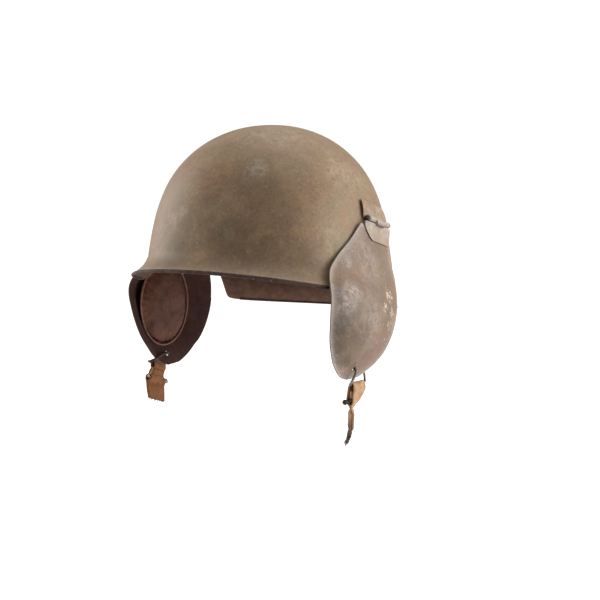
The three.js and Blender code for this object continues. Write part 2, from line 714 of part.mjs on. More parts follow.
// Moves a point given across the thickness, along the width and down onto the hanging strap
function strapPoint(strap, thick, wide, down) {
  const share = lookUp(strap.sections, 'down', 'share', down);
  const sway = lookUp(strap.sections, 'down', 'sway', down);
  const turn = degToRad(strap.turn) * smoothstep(down, strap.turnFrom, strap.turnTo);
  const width = wide * share;
  const x = strap.at.x + thick * Math.cos(turn) - width * Math.sin(turn);
  const y = strap.at.y + sway + thick * Math.sin(turn) + width * Math.cos(turn);
  return at3(x, y, strap.at.z - down + strap.tilt * width);
}

function buildStrap(strap) {
  const shape = new THREE.Shape();
  const top = [];
  for (let k = 0; k <= 8; k += 1) {
    const angle = (k / 8) * Math.PI;
    top.push(new THREE.Vector2(STRAP_TOP_RADIUS * Math.cos(angle), STRAP_TOP_RADIUS * Math.sin(angle)));
  }
  const rows = strap.sections.slice(1);
  const left = rows.map(({ down, half }) => new THREE.Vector2(-half, -down));
  const right = rows.map(({ down, half }) => new THREE.Vector2(half, -down)).reverse();
  shape.setFromPoints([...top, ...left, ...right]);
  const eye = [];
  for (let k = 0; k <= 6; k += 1) {
    const angle = (k / 6) * Math.PI;
    eye.push(new THREE.Vector2(STRAP_EYE_RADIUS * Math.cos(angle), STRAP_EYE_RADIUS * Math.sin(angle)));
  }
  const eyeLow = strap.crossbarDown - STRAP_EYE_DEPTH / 2 - 1;
  eye.push(new THREE.Vector2(-STRAP_EYE_TIP, -eyeLow), new THREE.Vector2(STRAP_EYE_TIP, -eyeLow));
  const seat = [];
  for (let k = 0; k < 12; k += 1) {
    const angle = (k / 12) * Math.PI * 2;
    const radius = CROSSBAR_RADIUS + FIT_GAP;
    seat.push(new THREE.Vector2(radius * Math.cos(angle), radius * Math.sin(angle) - strap.crossbarDown));
  }
  shape.holes = [eye, seat].map((points) => new THREE.Path().setFromPoints(points));
  const width = strap.span;
  const body = new THREE.ExtrudeGeometry(shape, { depth: width, steps: STRAP_WIDTH_STEPS, bevelEnabled: false });
  const position = body.getAttribute('position');
  for (let i = 0; i < position.count; i += 1) {
    const p = strapPoint(strap, position.getX(i), position.getZ(i) - width / 2, -position.getY(i));
    position.setXYZ(i, p.x, p.y, p.z);
  }
  return toGeometry(plainSolid(body));
}

// Round crossbar through the strap's lower loop, its ends domed
function buildCrossbar(strap) {
  const from = strap.crossbarFront;
  const to = strap.crossbarRear;
  const profile = [
    [0, from - 0.8], [CROSSBAR_RADIUS * 0.75, from - 0.4], [CROSSBAR_RADIUS, from + 0.6],
    [CROSSBAR_RADIUS, to - 0.6], [CROSSBAR_RADIUS * 0.75, to + 0.4], [0, to + 0.8],
  ].map(([radius, along]) => new THREE.Vector2(radius, along));
  const bar = new THREE.LatheGeometry(profile, 12);
  const position = bar.getAttribute('position');
  for (let i = 0; i < position.count; i += 1) {
    const share = lookUp(strap.sections, 'down', 'share', strap.crossbarDown);
    const down = strap.crossbarDown + position.getZ(i);
    const p = strapPoint(strap, position.getX(i), position.getY(i) / share, down);
    position.setXYZ(i, p.x, p.y, p.z);
  }
  return toGeometry(plainSolid(bar));
}

// ---- assembly ----

const group = new THREE.Group();
group.name = 'flak_helmet';

function addPiece(name, geometry, look) {
  const mesh = new THREE.Mesh(geometry, new THREE.MeshStandardMaterial(look));
  mesh.name = name;
  group.add(mesh);
}

function addPair(name, geometry, look) {
  addPiece(`${name}_left`, geometry, look);
  addPiece(`${name}_right`, mirrored(geometry), look);
}

const shell = buildShell();
addPiece('shell', shell.geometry, LOOKS.shellPaint);
addPiece('visor_rim', buildBand(shell, (bearing) => Math.abs(bearing) <= VISOR_BAND_END), LOOKS.edgeSteel);
addPiece('nape_rim', buildBand(shell, (bearing) => Math.abs(bearing) >= NAPE_BAND_START), LOOKS.edgeSteel);
addPair('hinge_leaf_upper', buildUpperLeaf(), LOOKS.shellPaint);
addPair('hinge_pin', buildPin(), LOOKS.darkSteel);
addPair('hinge_leaf_lower', buildLowerLeaf(), LOOKS.wornSteel);
addPair('ear_flap', buildFlap(), LOOKS.flapPaint);
addPair('ear_pad', buildPad(), LOOKS.leather);
addPiece('strap_ring_left', buildRing(LEFT_RING), LOOKS.wire);
addPiece('strap_ring_right', mirrored(buildRing(RIGHT_RING)), LOOKS.wire);
addPiece('strap_left', buildStrap(LEFT_STRAP), LOOKS.tornWebbing);
addPiece('strap_right', mirrored(buildStrap(RIGHT_STRAP)), LOOKS.webbing);
addPiece('strap_bar_left', buildCrossbar(LEFT_STRAP), LOOKS.darkSteel);
addPiece('strap_bar_right', mirrored(buildCrossbar(RIGHT_STRAP)), LOOKS.wornSteel);

export default group;
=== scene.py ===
"""Worn steel helmet with hinged ear flaps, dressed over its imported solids.

Everything is built in millimetres in the frame's own axes (visor towards -Y,
wearer's left towards +X, up +Z) and turned into metres as a mesh is made.
"""
import math
import random

import bmesh
import bpy
from bpy.props import FloatProperty, FloatVectorProperty, IntProperty, PointerProperty
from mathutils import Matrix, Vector, kdtree, noise


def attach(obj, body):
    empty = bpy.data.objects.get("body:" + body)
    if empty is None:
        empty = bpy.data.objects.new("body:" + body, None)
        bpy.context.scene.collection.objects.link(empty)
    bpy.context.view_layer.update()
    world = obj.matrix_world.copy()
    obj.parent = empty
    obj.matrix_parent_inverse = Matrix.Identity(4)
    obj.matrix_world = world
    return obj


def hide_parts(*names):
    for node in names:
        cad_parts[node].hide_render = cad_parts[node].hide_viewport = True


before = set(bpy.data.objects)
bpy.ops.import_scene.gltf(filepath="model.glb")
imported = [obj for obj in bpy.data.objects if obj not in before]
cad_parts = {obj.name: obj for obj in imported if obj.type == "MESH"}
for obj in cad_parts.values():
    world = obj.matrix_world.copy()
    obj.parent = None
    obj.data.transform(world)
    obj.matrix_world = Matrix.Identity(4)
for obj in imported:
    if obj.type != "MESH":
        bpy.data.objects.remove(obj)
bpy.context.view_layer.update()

bl_info = {
    "name": "Worn steel helmet",
    "version": (1, 0, 0),
    "blender": (4, 5, 0),
    "location": "View3D > Sidebar > Helmet",
    "description": "Builds a pressed steel helmet with hinged ear flaps and its studio",
    "category": "Object",
}

MM = 0.001

# The helmet's measures in mm and degrees, close to those of the solids

STEEL_WALL = 1.2
FIT_GAP = 0.3

CROWN_HEIGHT = 146
HALF_WIDTH = 107
FRONT_REACH = 127.4
REAR_REACH = 117.5
SECTION_POWER = 2.15
CROWN_DEPTH = 114.2
CROWN_SHARE = 0.83
CROWN_POWER = 2.743
FALL_POWER = 2.113
BASE_DEPTH = 125
SPREAD_DEPTH = 134

RIM_MEAN = -11.7
RIM_FALL = 24
VISOR_LIFT = 3.6
FLARE_HEIGHT = 18
# bearing from the visor, reach of the flare
FLARE_TABLE = ((0, 16.1), (45, 13.1), (75, 6), (95, 4), (120, 4.5), (150, 8.5), (180, 12))

# the side cut-out's three edges: bearing, height and slope of each
CUT_FRONT = (59.5, -4, 1.95)
CUT_TOP = (88, 51, -0.42)
CUT_REAR = (124, -28, -5)
CUT_CORNER = 7

BAND_LEG = 2.2
BAND_WALL = 0.45
VISOR_BAND_END = 57
NAPE_BAND_START = 130

HINGE_X = 104.6
HINGE_Y = 17.3
HINGE_Z = 56.7
HINGE_SLOPE = math.radians(13.1)
BARREL_RADIUS = 2.5
PIN_RADIUS = 1.3
PIN_BORE = 1.6
HINGE_HALF = 17.5
KNUCKLE_SPLIT = 6.5
PIN_HEAD_RADIUS = 2.7
PIN_HEAD_LENGTH = 3.6
LEAF_WALL = 1
LEAF_FRONT = -22.5
LEAF_REAR = 22
UPPER_LEAF_HEIGHT = 16.5
UPPER_LEAF_LIFT = 0.9
UPPER_LEAF_SEAT = 100.75
LOWER_ROOT_DEPTH = 5
FLAP_TOP_DOWN = 7.6
# down from the pin, front end along the pin
LOWER_LEAF_TABLE = (
    (3.6, -24.5), (8, -24), (12, -21), (15.5, -17.5), (18, -14.5), (19.6, -11),
)

# each row of the flap: front x y z, rear x y z, bulge
FLAP_TABLE = (
    (104.2, -13, 56.5, 104.2, 40, 44, 0.4),
    (103.6, -31, 42.5, 105, 36.5, 32, 2),
    (102.4, -47.5, 31, 105.6, 38.5, 20, 4.6),
    (102, -59, 21.5, 106, 43, 10, 7),
    (102.2, -63.8, 16, 106.4, 46, 3, 9),
    (104.8, -68.6, 9, 106.6, 48, -5, 10.8),
    (109, -74, 2, 106.8, 49.5, -12, 12.3),
    (111.3, -76.2, -6, 107, 50, -19, 13.6),
    (111.2, -76.5, -15, 107, 50, -27, 14.6),
    (109.7, -75.2, -25, 107, 48.5, -34, 15),
    (108.2, -73.2, -35, 107, 45.5, -42, 15),
    (106.4, -70.5, -45, 106.8, 41, -50, 13.8),
    (104.8, -66.1, -55, 106.4, 35, -57.5, 11.4),
    (102.8, -59.7, -65, 106, 27, -65, 7.4),
    (102, -54, -72, 105.4, 17, -71, 3.8),
    (101.3, -47.2, -78, 104, 8, -76, 1.8),
    (100.5, -40, -82, 102.5, -3, -80.5, 0.9),
    (100.2, -31, -84.5, 101.5, -12, -83.5, 0.4),
)
# place across the flap, share of the bulge: a thin lip, a hollow and the cup
FLAP_PROFILE = (
    (0, 0.07), (0.018, 0.02), (0.04, 0.01), (0.07, 0.15), (0.1, 0.33), (0.15, 0.53), (0.21, 0.71),
    (0.3, 0.87), (0.41, 0.97), (0.52, 1), (0.63, 0.96), (0.73, 0.83), (0.82, 0.62),
    (0.89, 0.4), (0.95, 0.19), (1, 0),
)
FLAP_CLEARANCE = 1.4
# how softly the flap's cup runs into the line that follows the shell
FLAP_BLEND = 0.8
FLAP_HOLE = (-27, -74.2)
FLAP_HOLE_RADIUS = 2.2

PAD_MIDDLE = (-26, -25)
PAD_HALF_LENGTH = 38.5
PAD_HALF_HEIGHT = 42
PAD_FACE_X = 106.5
PAD_DEPTH = 7
PAD_BACK_GAP = 0.8

WIRE_RADIUS = 1.2
LEFT_RING = (
    (105.4, -27, -74.2), (108, -27.6, -75.8), (107, -29.4, -82), (103.4, -29.4, -88.2),
    (101.4, -26.4, -90.5), (101, -20, -90.7), (101, -8, -90.7), (101, -1.6, -90.6),
    (99.6, 2.8, -88), (98, 3.2, -79.5), (98.6, -2, -75), (100, -13, -73.4),
    (102.8, -24.6, -73.6),
)
RIGHT_RING = (
    (105.4, -27, -74.2), (108.6, -26.8, -75), (109.4, -25.6, -79.6), (108.6, -26.6, -86.3),
    (108.4, -33, -84.87), (108.4, -42, -82.17), (108.4, -48, -80.4), (107.6, -51.6, -79.4),
    (105.4, -53, -79.2), (102.4, -51.6, -78), (99.6, -47, -75), (99.4, -37, -72.6),
    (101.6, -28.4, -73.4),
)

CROSSBAR_RADIUS = 1.9
KNOB_RADIUS = 2.5
STRAP_TOP_RADIUS = 3.3
# at: the strap's place on its ring. span: its width. bar_down, bar: how far down the crossbar lies, and its
# two ends along the width. knob: the end that has the knob. turn, turn_from, turn_to: the twist in degrees,
# and where it starts and ends. tilt: the slope of the width. closed: where the layers are sewn together.
# layers: how far down the back and front layers reach. seams: the rows of stitches. soil: soiled spots by
# place along Y and up, radius and strength. sections: down the strap, half thickness, share of the width
# and sway along Y.
LEFT_STRAP = {
    "at": (101, -13.8, -90.7), "span": 21, "bar_down": 13, "bar": (-21, 10), "knob": -1,
    "turn": 33, "turn_from": 8, "turn_to": 26, "tilt": 0, "closed": 17.6,
    "layers": (38.6, 50), "seams": (18.6, 25.4, 36),
    "soil": ((-15, -47, 16, 1.3), (0, 2, 7, 0.5), (-11, -27, 8, 0.4), (-11, -37, 8, 0.6)),
    "sections": (
        (0, 3.3, 1, 0), (4, 3.9, 1, -0.6), (8.8, 3.7, 0.9, -3.4), (10.8, 3.8, 0.8, -5),
        (13, 3.8, 0.74, -6.4), (15.2, 3.4, 0.74, -7.4), (17.6, 1.6, 0.78, -8.4),
        (22.2, 1, 0.9, -9.5), (23.2, 2.4, 1, -9.7), (29, 2.5, 1, -10.4), (38, 2.3, 1, -11.2),
        (39.2, 1.1, 0.9, -11.6), (41, 1.7, 0.8, -12.4), (45, 1.8, 0.6, -14.4),
        (48.5, 1, 0.4, -16.4), (50.5, 0.4, 0.2, -17.6), (55, 0.3, 0.12, -20),
    ),
}
RIGHT_STRAP = {
    "at": (108.4, -37.5, -83.52), "span": 19, "bar_down": 13.5, "bar": (-10.8, 17.6), "knob": 1,
    "turn": 3, "turn_from": 5, "turn_to": 14, "tilt": -0.3, "closed": 18.4,
    "layers": (34.3, 34.9), "seams": (18.8, 21.2),
    "soil": ((0, 2, 8, 0.5), (-2, -18.4, 6, 0.5), (9, -24, 7, 0.25)),
    "sections": (
        (0, 3.3, 0.9, 1.5), (3.5, 3.1, 0.9, 1.4), (6, 2.1, 0.86, 0.6), (6.8, 3.2, 0.83, -0.4),
        (8.6, 3, 0.84, -1.4), (11, 2.4, 0.98, -2), (12.2, 3.9, 1.08, -2.4), (14.8, 3.9, 1.16, -2.8),
        (16.6, 3.1, 1.24, -3.1), (18.4, 1.8, 1.3, -3.2), (26.5, 1.5, 1.28, -2.8), (35, 1.5, 1.18, -1.6),
    ),
}


# Reading tables

def clamp(value, low, high):
    return max(low, min(high, value))


def lerp(a, b, share):
    return a + (b - a) * share


def smooth_step(value, low, high):
    share = clamp((value - low) / (high - low), 0, 1)
    return share * share * (3 - 2 * share)


def soft_max(a, b, corner):
    return (a + b + math.hypot(a - b, corner)) / 2


def soft_min(a, b, corner):
    return (a + b - math.hypot(a - b, corner)) / 2


def straight_read(table, value, column):
    """Straight-line reading of a table whose first column rises."""
    if value <= table[0][0]:
        return table[0][column]
    for before, after in zip(table, table[1:]):
        if value <= after[0]:
            share = (value - before[0]) / (after[0] - before[0])
            return lerp(before[column], after[column], share)
    return table[-1][column]


def slope_at(keys, values, i):
    """Slope of a smooth line through the points at point i."""
    if i == 0:
        return (values[1] - values[0]) / (keys[1] - keys[0])
    if i == len(keys) - 1:
        return (values[-1] - values[-2]) / (keys[-1] - keys[-2])
    left = (values[i] - values[i - 1]) / (keys[i] - keys[i - 1])
    right = (values[i + 1] - values[i]) / (keys[i + 1] - keys[i])
    before, after = keys[i] - keys[i - 1], keys[i + 1] - keys[i]
    return (left * after + right * before) / (before + after)


def smooth_read(keys, values, value):
    """Smooth reading: a cubic between two points with shared slopes."""
    value = clamp(value, keys[0], keys[-1])
    i = 0
    while i < len(keys) - 2 and value > keys[i + 1]:
        i += 1
    width = keys[i + 1] - keys[i]
    t = (value - keys[i]) / width
    a = slope_at(keys, values, i) * width
    b = slope_at(keys, values, i + 1) * width
    rise = values[i + 1] - values[i]
    return values[i] + a * t + (3 * rise - 2 * a - b) * t * t + (a + b - 2 * rise) * t ** 3


FLARE_KEYS, FLARE_REACH = zip(*FLARE_TABLE)
PROFILE_KEYS, PROFILE_RISE = zip(*FLAP_PROFILE)
FLAP_ROWS = tuple(range(len(FLAP_TABLE)))
FLAP_COLUMNS = tuple(zip(*FLAP_TABLE))


# The shell's and the flaps' surfaces

# bearings between which a place on the shell's side is looked for, and how often each search is halved
SIDE_BEARINGS = (20.0, 160.0)
SHELL_HALVINGS = 18
FLAP_HALVINGS = 16

def rim_height(bearing):
    angle = math.radians(bearing)
    return RIM_MEAN + RIM_FALL * math.cos(angle) + VISOR_LIFT * math.cos(2 * angle)


def cut_line(cut, side):
    bearing, height, slope = cut
    return height + (side - bearing) * slope


def edge_height(bearing):
    side = abs(bearing)
    cut = soft_min(cut_line(CUT_FRONT, side), cut_line(CUT_TOP, side), CUT_CORNER)
    cut = soft_min(cut, cut_line(CUT_REAR, side), CUT_CORNER)
    return soft_max(rim_height(bearing), cut, CUT_CORNER)


def dome_scale(height):
    drop = CROWN_HEIGHT - height
    rest = clamp(1 - drop / CROWN_DEPTH, 0, 1)
    swell = (1 - rest ** CROWN_POWER) ** (1 / FALL_POWER)
    return CROWN_SHARE * swell + (1 - CROWN_SHARE) * min(drop, SPREAD_DEPTH) / BASE_DEPTH


def dome_radius(bearing, height):
    angle = math.radians(bearing)
    reach = FRONT_REACH if math.cos(angle) > 0 else REAR_REACH
    across = abs(math.sin(angle) / HALF_WIDTH) ** SECTION_POWER
    along = abs(math.cos(angle) / reach) ** SECTION_POWER
    section = (across + along) ** (-1 / SECTION_POWER)
    flare = clamp((rim_height(bearing) + FLARE_HEIGHT - height) / FLARE_HEIGHT, 0, 1)
    reach_out = smooth_read(FLARE_KEYS, FLARE_REACH, abs(bearing))
    return section * dome_scale(height) + reach_out * flare * flare


def shell_point(bearing, height):
    radius = dome_radius(bearing, height)
    angle = math.radians(bearing)
    return Vector((radius * math.sin(angle), -radius * math.cos(angle), height))


def shell_side(y, height):
    """The shell's outer x beside a point of the wearer's left ear."""
    low, high = SIDE_BEARINGS
    for _ in range(SHELL_HALVINGS):
        middle = (low + high) / 2
        level = max(height, rim_height(middle))
        if shell_point(middle, level).y < y:
            low = middle
        else:
            high = middle
    below = max(0.0, rim_height(low) - height)
    return shell_point(low, max(height, rim_height(low))).x - below


def flap_point(row, across):
    """A point of the flap's outer face: row down the table, across from front to rear."""
    fx, fy, fz, rx, ry, rz, bulge = (smooth_read(FLAP_ROWS, column, row) for column in FLAP_COLUMNS)
    y = lerp(fy, ry, across)
    z = lerp(fz, rz, across)
    cup = lerp(fx, rx, across) + bulge * smooth_read(PROFILE_KEYS, PROFILE_RISE, across)
    follow = shell_side(y, z) + STEEL_WALL + FLAP_CLEARANCE
    return Vector((soft_max(cup, follow, FLAP_BLEND), y, z))


def flap_side(y, z):
    """The flap's outer x beside a given y and height."""
    low, high = 0.0, float(FLAP_ROWS[-1])
    across = 0.0
    for _ in range(FLAP_HALVINGS):
        row = (low + high) / 2
        fy, fz, ry, rz = (smooth_read(FLAP_ROWS, FLAP_COLUMNS[k], row) for k in (1, 2, 4, 5))
        across = clamp((y - fy) / (ry - fy), 0, 1)
        if lerp(fz, rz, across) > z:
            low = row
        else:
            high = row
    return flap_point((low + high) / 2, across).x


def hinge_point(x, along, down):
    """Hinge places: along the pin to the rear, and down across it."""
    slope_cos, slope_sin = math.cos(HINGE_SLOPE), math.sin(HINGE_SLOPE)
    y = HINGE_Y + along * slope_cos - down * slope_sin
    return Vector((x, y, HINGE_Z - along * slope_sin - down * slope_cos))


# Meshes

def new_piece(name, points, faces, mirror=False):
    """An object from points in mm; a mirrored one is turned to the other side."""
    mesh = bpy.data.meshes.new(name)
    side = -1 if mirror else 1
    mesh.from_pydata([(p[0] * MM * side, p[1] * MM, p[2] * MM) for p in points], [], faces)
    mesh.validate()
    piece = bpy.data.objects.new(name, mesh)
    bpy.context.scene.collection.objects.link(piece)
    face_outward(mesh)
    return piece


def face_outward(mesh):
    """Turns every closed part's faces outward and shades them smooth."""
    body = bmesh.new()
    body.from_mesh(mesh)
    bmesh.ops.recalc_face_normals(body, faces=body.faces)
    for face in body.faces:
        face.smooth = True
    body.to_mesh(mesh)
    body.free()


def grid_normals(rows, ring, crown):
    """Outward normals of a grid of points, its rows running down and its columns to the rear."""
    last, count = len(rows) - 1, len(rows[0])
    normals = []
    for r, row in enumerate(rows):
        line = []
        for c, p in enumerate(row):
            above = rows[r - 1][c] if r else (crown or p)
            below = rows[r + 1][c] if r < last else p
            if ring:
                before, after = row[c - 1], row[(c + 1) % count]
            else:
                before, after = row[max(c - 1, 0)], row[min(c + 1, count - 1)]
            line.append((below - above).cross(after - before).normalized())
        normals.append(line)
    return normals


def border_places(rows, columns, ring):
    """Row and column of each border point in order, with the next one inward."""
    if ring:
        return [((rows - 1, c), (rows - 2, c)) for c in range(columns)]
    places = [((0, c), (1, c)) for c in range(columns)]
    places += [((r, columns - 1), (r, columns - 2)) for r in range(1, rows)]
    places += [((rows - 1, c), (rows - 2, c)) for c in range(columns - 2, -1, -1)]
    places += [((r, 0), (r, 1)) for r in range(rows - 2, 0, -1)]
    return places


def circle(radius, sides):
    """The points of a circle, as pairs."""
    turns = [2 * math.pi * k / sides for k in range(sides)]
    return [(radius * math.cos(turn), radius * math.sin(turn)) for turn in turns]


EDGE_STEPS = 5
# how far a sheet's rounded edge stands out, in half walls
EDGE_BULGE = 0.7


def rounded_edge(rows, ring, outer, inner, points, inward):
    """Adds the points of a sheet's rounded edge; returns them in lines from face to face."""
    lines = []
    for (r, c), (ri, ci) in border_places(len(rows), len(rows[0]), ring):
        a, b = points[outer[r][c]], points[inner[r][c]]
        across = (a - b).normalized()
        away = rows[r][c] - rows[ri][ci]
        away = (away - across * away.dot(across)).normalized()
        middle, half = (a + b) / 2, (a - b).length / 2
        line = [outer[r][c]]
        for k in range(1, EDGE_STEPS):
            turn = math.pi * k / EDGE_STEPS
            line.append(len(points))
            points.append(middle + across * half * math.cos(turn) + away * half * math.sin(turn) * EDGE_BULGE)
            inward.append(k / EDGE_STEPS)
        lines.append(line + [inner[r][c]])
    return lines


def sheet_piece(name, rows, wall, ring=False, crown=None, dent=None):
    """A closed sheet of steel from a grid of its outer face, its edge rounded."""
    row_count, count = len(rows), len(rows[0])
    normals = grid_normals(rows, ring, crown)
    points, outer, inner, inward = [], [], [], []
    for r, row in enumerate(rows):
        outer.append([])
        inner.append([])
        for c, p in enumerate(row):
            push = dent(p, r, c) if dent else 0.0
            outer[r].append(len(points))
            points.append(p + normals[r][c] * push)
            inner[r].append(len(points))
            points.append(p + normals[r][c] * (push - wall))
            inward += [0.0, 1.0]
    faces = []
    steps = count if ring else count - 1
    for r in range(row_count - 1):
        for c in range(steps):
            d = (c + 1) % count
            faces.append((outer[r][c], outer[r + 1][c], outer[r + 1][d], outer[r][d]))
            faces.append((inner[r][c], inner[r][d], inner[r + 1][d], inner[r + 1][c]))
    if crown is not None:
        top, under = len(points), len(points) + 1
        points += [crown, crown - Vector((0, 0, wall))]
        inward += [0.0, 1.0]
        for c in range(count):
            d = (c + 1) % count
            faces.append((top, outer[0][c], outer[0][d]))
            faces.append((under, inner[0][d], inner[0][c]))
    lines = rounded_edge(rows, ring, outer, inner, points, inward)
    for one, two in zip(lines, lines[1:] + lines[:1]):
        for k in range(EDGE_STEPS):
            faces.append((one[k], one[k + 1], two[k + 1], two[k]))
    piece = new_piece(name, points, faces)
    store(piece, "inside", inward)
    mark_edges(piece, [points[line[EDGE_STEPS // 2]] for line in lines])
    return piece


def store(piece, name, values):
    """Stores a value at each of the piece's points, for its finish to read."""
    layers = piece.data.attributes
    if name in layers:
        layers.remove(layers[name])
    layers.new(name, "FLOAT", "POINT").data.foreach_set("value", values)


def mark_edges(piece, border, fade=4.0):
    """Stores how near each point is to the given edge, for the wear of the finish; fade is in mm."""
    tree = kdtree.KDTree(len(border))
    for i, p in enumerate(border):
        tree.insert((p[0] * MM, p[1] * MM, p[2] * MM), i)
    tree.balance()
    store(piece, "edge", [math.exp(-tree.find(v.co)[2] / (fade * MM)) for v in piece.data.vertices])


# waves in the border of a marked zone: their size in mm and their strength
ZONE_WAVES = ((27, 1.5), (9, 0.7))
# the share of a zone's radius over which it fades out
ZONE_BORDER = 0.8


def mark_zones(piece, name, spots, wobble=0.4):
    """Stores soft patches: spots of x y z radius strength in mm, their borders wavering."""
    values = []
    for v in piece.data.vertices:
        p = v.co / MM
        waver = 1 + wobble * sum(strength * noise.noise(p / size) for size, strength in ZONE_WAVES)
        value = 0.0
        for x, y, z, radius, strength in spots:
            near = 1 - (p - Vector((x, y, z))).length * waver / radius
            if near > 0:
                value = max(value, strength * smooth_step(near, 0, ZONE_BORDER))
        values.append(value)
    store(piece, name, values)


def mark_zone_table(piece, wear):
    for name, spots in wear.items():
        mark_zones(piece, name, spots)


def ring_faces(a, b, count):
    """Faces between two rings of points, from the index of each one's first point."""
    return [(a + k, a + (k + 1) % count, b + (k + 1) % count, b + k) for k in range(count)]


def end_faces(first, last, count):
    """The two end caps of a tube, from the index of the first point of its end rings."""
    return [tuple(range(first, first + count)), tuple(range(last, last + count))]


def swept_piece(name, sections, closed, mirror=False):
    """A closed body through sections with the same number of points."""
    count, total = len(sections[0]), len(sections)
    points = [p for section in sections for p in section]
    faces = []
    for s in range(total if closed else total - 1):
        faces += ring_faces(s * count, (s + 1) % total * count, count)
    if not closed:
        faces += end_faces(0, (total - 1) * count, count)
    return new_piece(name, points, faces, mirror)


def turned_piece(name, profile, place, sides=40):
    """A body of revolution: profile of radius and place along, set out by place(x, along, down)."""
    sections = [[place(x, along, down) for x, down in circle(radius, sides)] for radius, along in profile]
    return swept_piece(name, sections, False)


def cut_or_join(piece, others):
    """Joins or cuts the piece with each (tool object, operation), and removes the tools."""
    for tool, operation in others:
        step = piece.modifiers.new("step", "BOOLEAN")
        step.solver = "EXACT"
        step.operation = operation
        step.object = tool
        freeze(piece)
        bpy.data.objects.remove(tool)
    return piece


def freeze(piece):
    """Applies the piece's modifiers to its mesh."""
    bpy.context.view_layer.update()
    graph = bpy.context.evaluated_depsgraph_get()
    mesh = bpy.data.meshes.new_from_object(piece.evaluated_get(graph))
    piece.modifiers.clear()
    old = piece.data
    piece.data = mesh
    mesh.name = piece.name
    bpy.data.meshes.remove(old)


def mirrored_copy(piece, name):
    """The same piece on the other side of the helmet."""
    mesh = piece.data.copy()
    mesh.name = name
    for v in mesh.vertices:
        v.co.x = -v.co.x
    mesh.flip_normals()
    twin = bpy.data.objects.new(name, mesh)
    bpy.context.scene.collection.objects.link(twin)
    return twin


def soften(piece, angle=30):
    """Keeps sharp edges sharp and the rest smooth."""
    piece.data.set_sharp_from_angle(angle=math.radians(angle))


# the finishes by name, filled by make_finishes
FINISHES = {}


def dress(piece, body, node, finish, slot=None):
    """Gives a piece its finish and its body, and hides the solid that it stands for.

    The slot is not used.
    """
    piece.data.materials.clear()
    piece.data.materials.append(FINISHES[finish])
    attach(piece, body)
    if node:
        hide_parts(node)
    slot or finish


# Sizes and colours that a user may change

def tint(code):
    """A colour as Blender keeps it, from the usual six figures."""
    shades = [int(code[k:k + 2], 16) / 255 for k in (0, 2, 4)]
    return tuple(s / 12.92 if s <= 0.04045 else ((s + 0.055) / 1.055) ** 2.4 for s in shades)


def solid(code):
    """The same with nothing of it transparent."""
    return tint(code) + (1.0,)


def size_value(name, note, value):
    return FloatProperty(name=name, description=note, default=value, min=0, unit="LENGTH")


def colour_value(name, note, code):
    return FloatVectorProperty(
        name=name, description=note, default=tint(code), size=3, min=0, max=1, subtype="COLOR"
    )


class HelmetSizes(bpy.types.PropertyGroup):
    """Lengths that may be changed without leaving the solids"""
    shell_dents: size_value("Shell dents", "Depth of the shell's unevenness", 0.00022)
    flap_dents: size_value("Flap dents", "Depth of the flaps' dents", 0.00035)
    webbing: size_value("Webbing", "Thickness of the chin strap's webbing", 0.0014)
    rib: size_value("Rib", "Spacing of the webbing's ribs", 0.0011)
    pad_swell: size_value("Pad swell", "How far the leather pads may swell", 0.0022)
    piping: size_value("Piping", "Radius of the pads' edge piping", 0.0009)
    thread: size_value("Thread", "Radius of a loose thread", 0.00025)
    torn_threads: IntProperty(
        name="Torn threads", description="Loose threads at the torn strap's end", default=150, min=0
    )


class HelmetColours(bpy.types.PropertyGroup):
    """Colours of the helmet's finishes"""
    shell: colour_value("Shell paint", "Olive brown paint of the shell", "776048")
    flap: colour_value("Flap paint", "Greyer paint of the flaps", "6b5644")
    steel: colour_value("Worn steel", "Bare steel of the hinges", "a3978a")
    dark_steel: colour_value("Dark steel", "Blackened pins and bars", "57504b")
    wire: colour_value("Wire", "Polished wire of the rings", "77726b")
    leather: colour_value("Leather", "Red-brown leather of the pads", "522a14")
    webbing: colour_value("Webbing", "Golden-brown webbing", "7f4b1d")
    torn: colour_value("Torn webbing", "Paler torn webbing", "b08a66")
    floor: colour_value("Floor", "Studio floor and backdrop", "f4f4f4")


def sizes():
    return bpy.context.scene.helmet_sizes


def colours():
    return bpy.context.scene.helmet_colours


# Drawing shaders

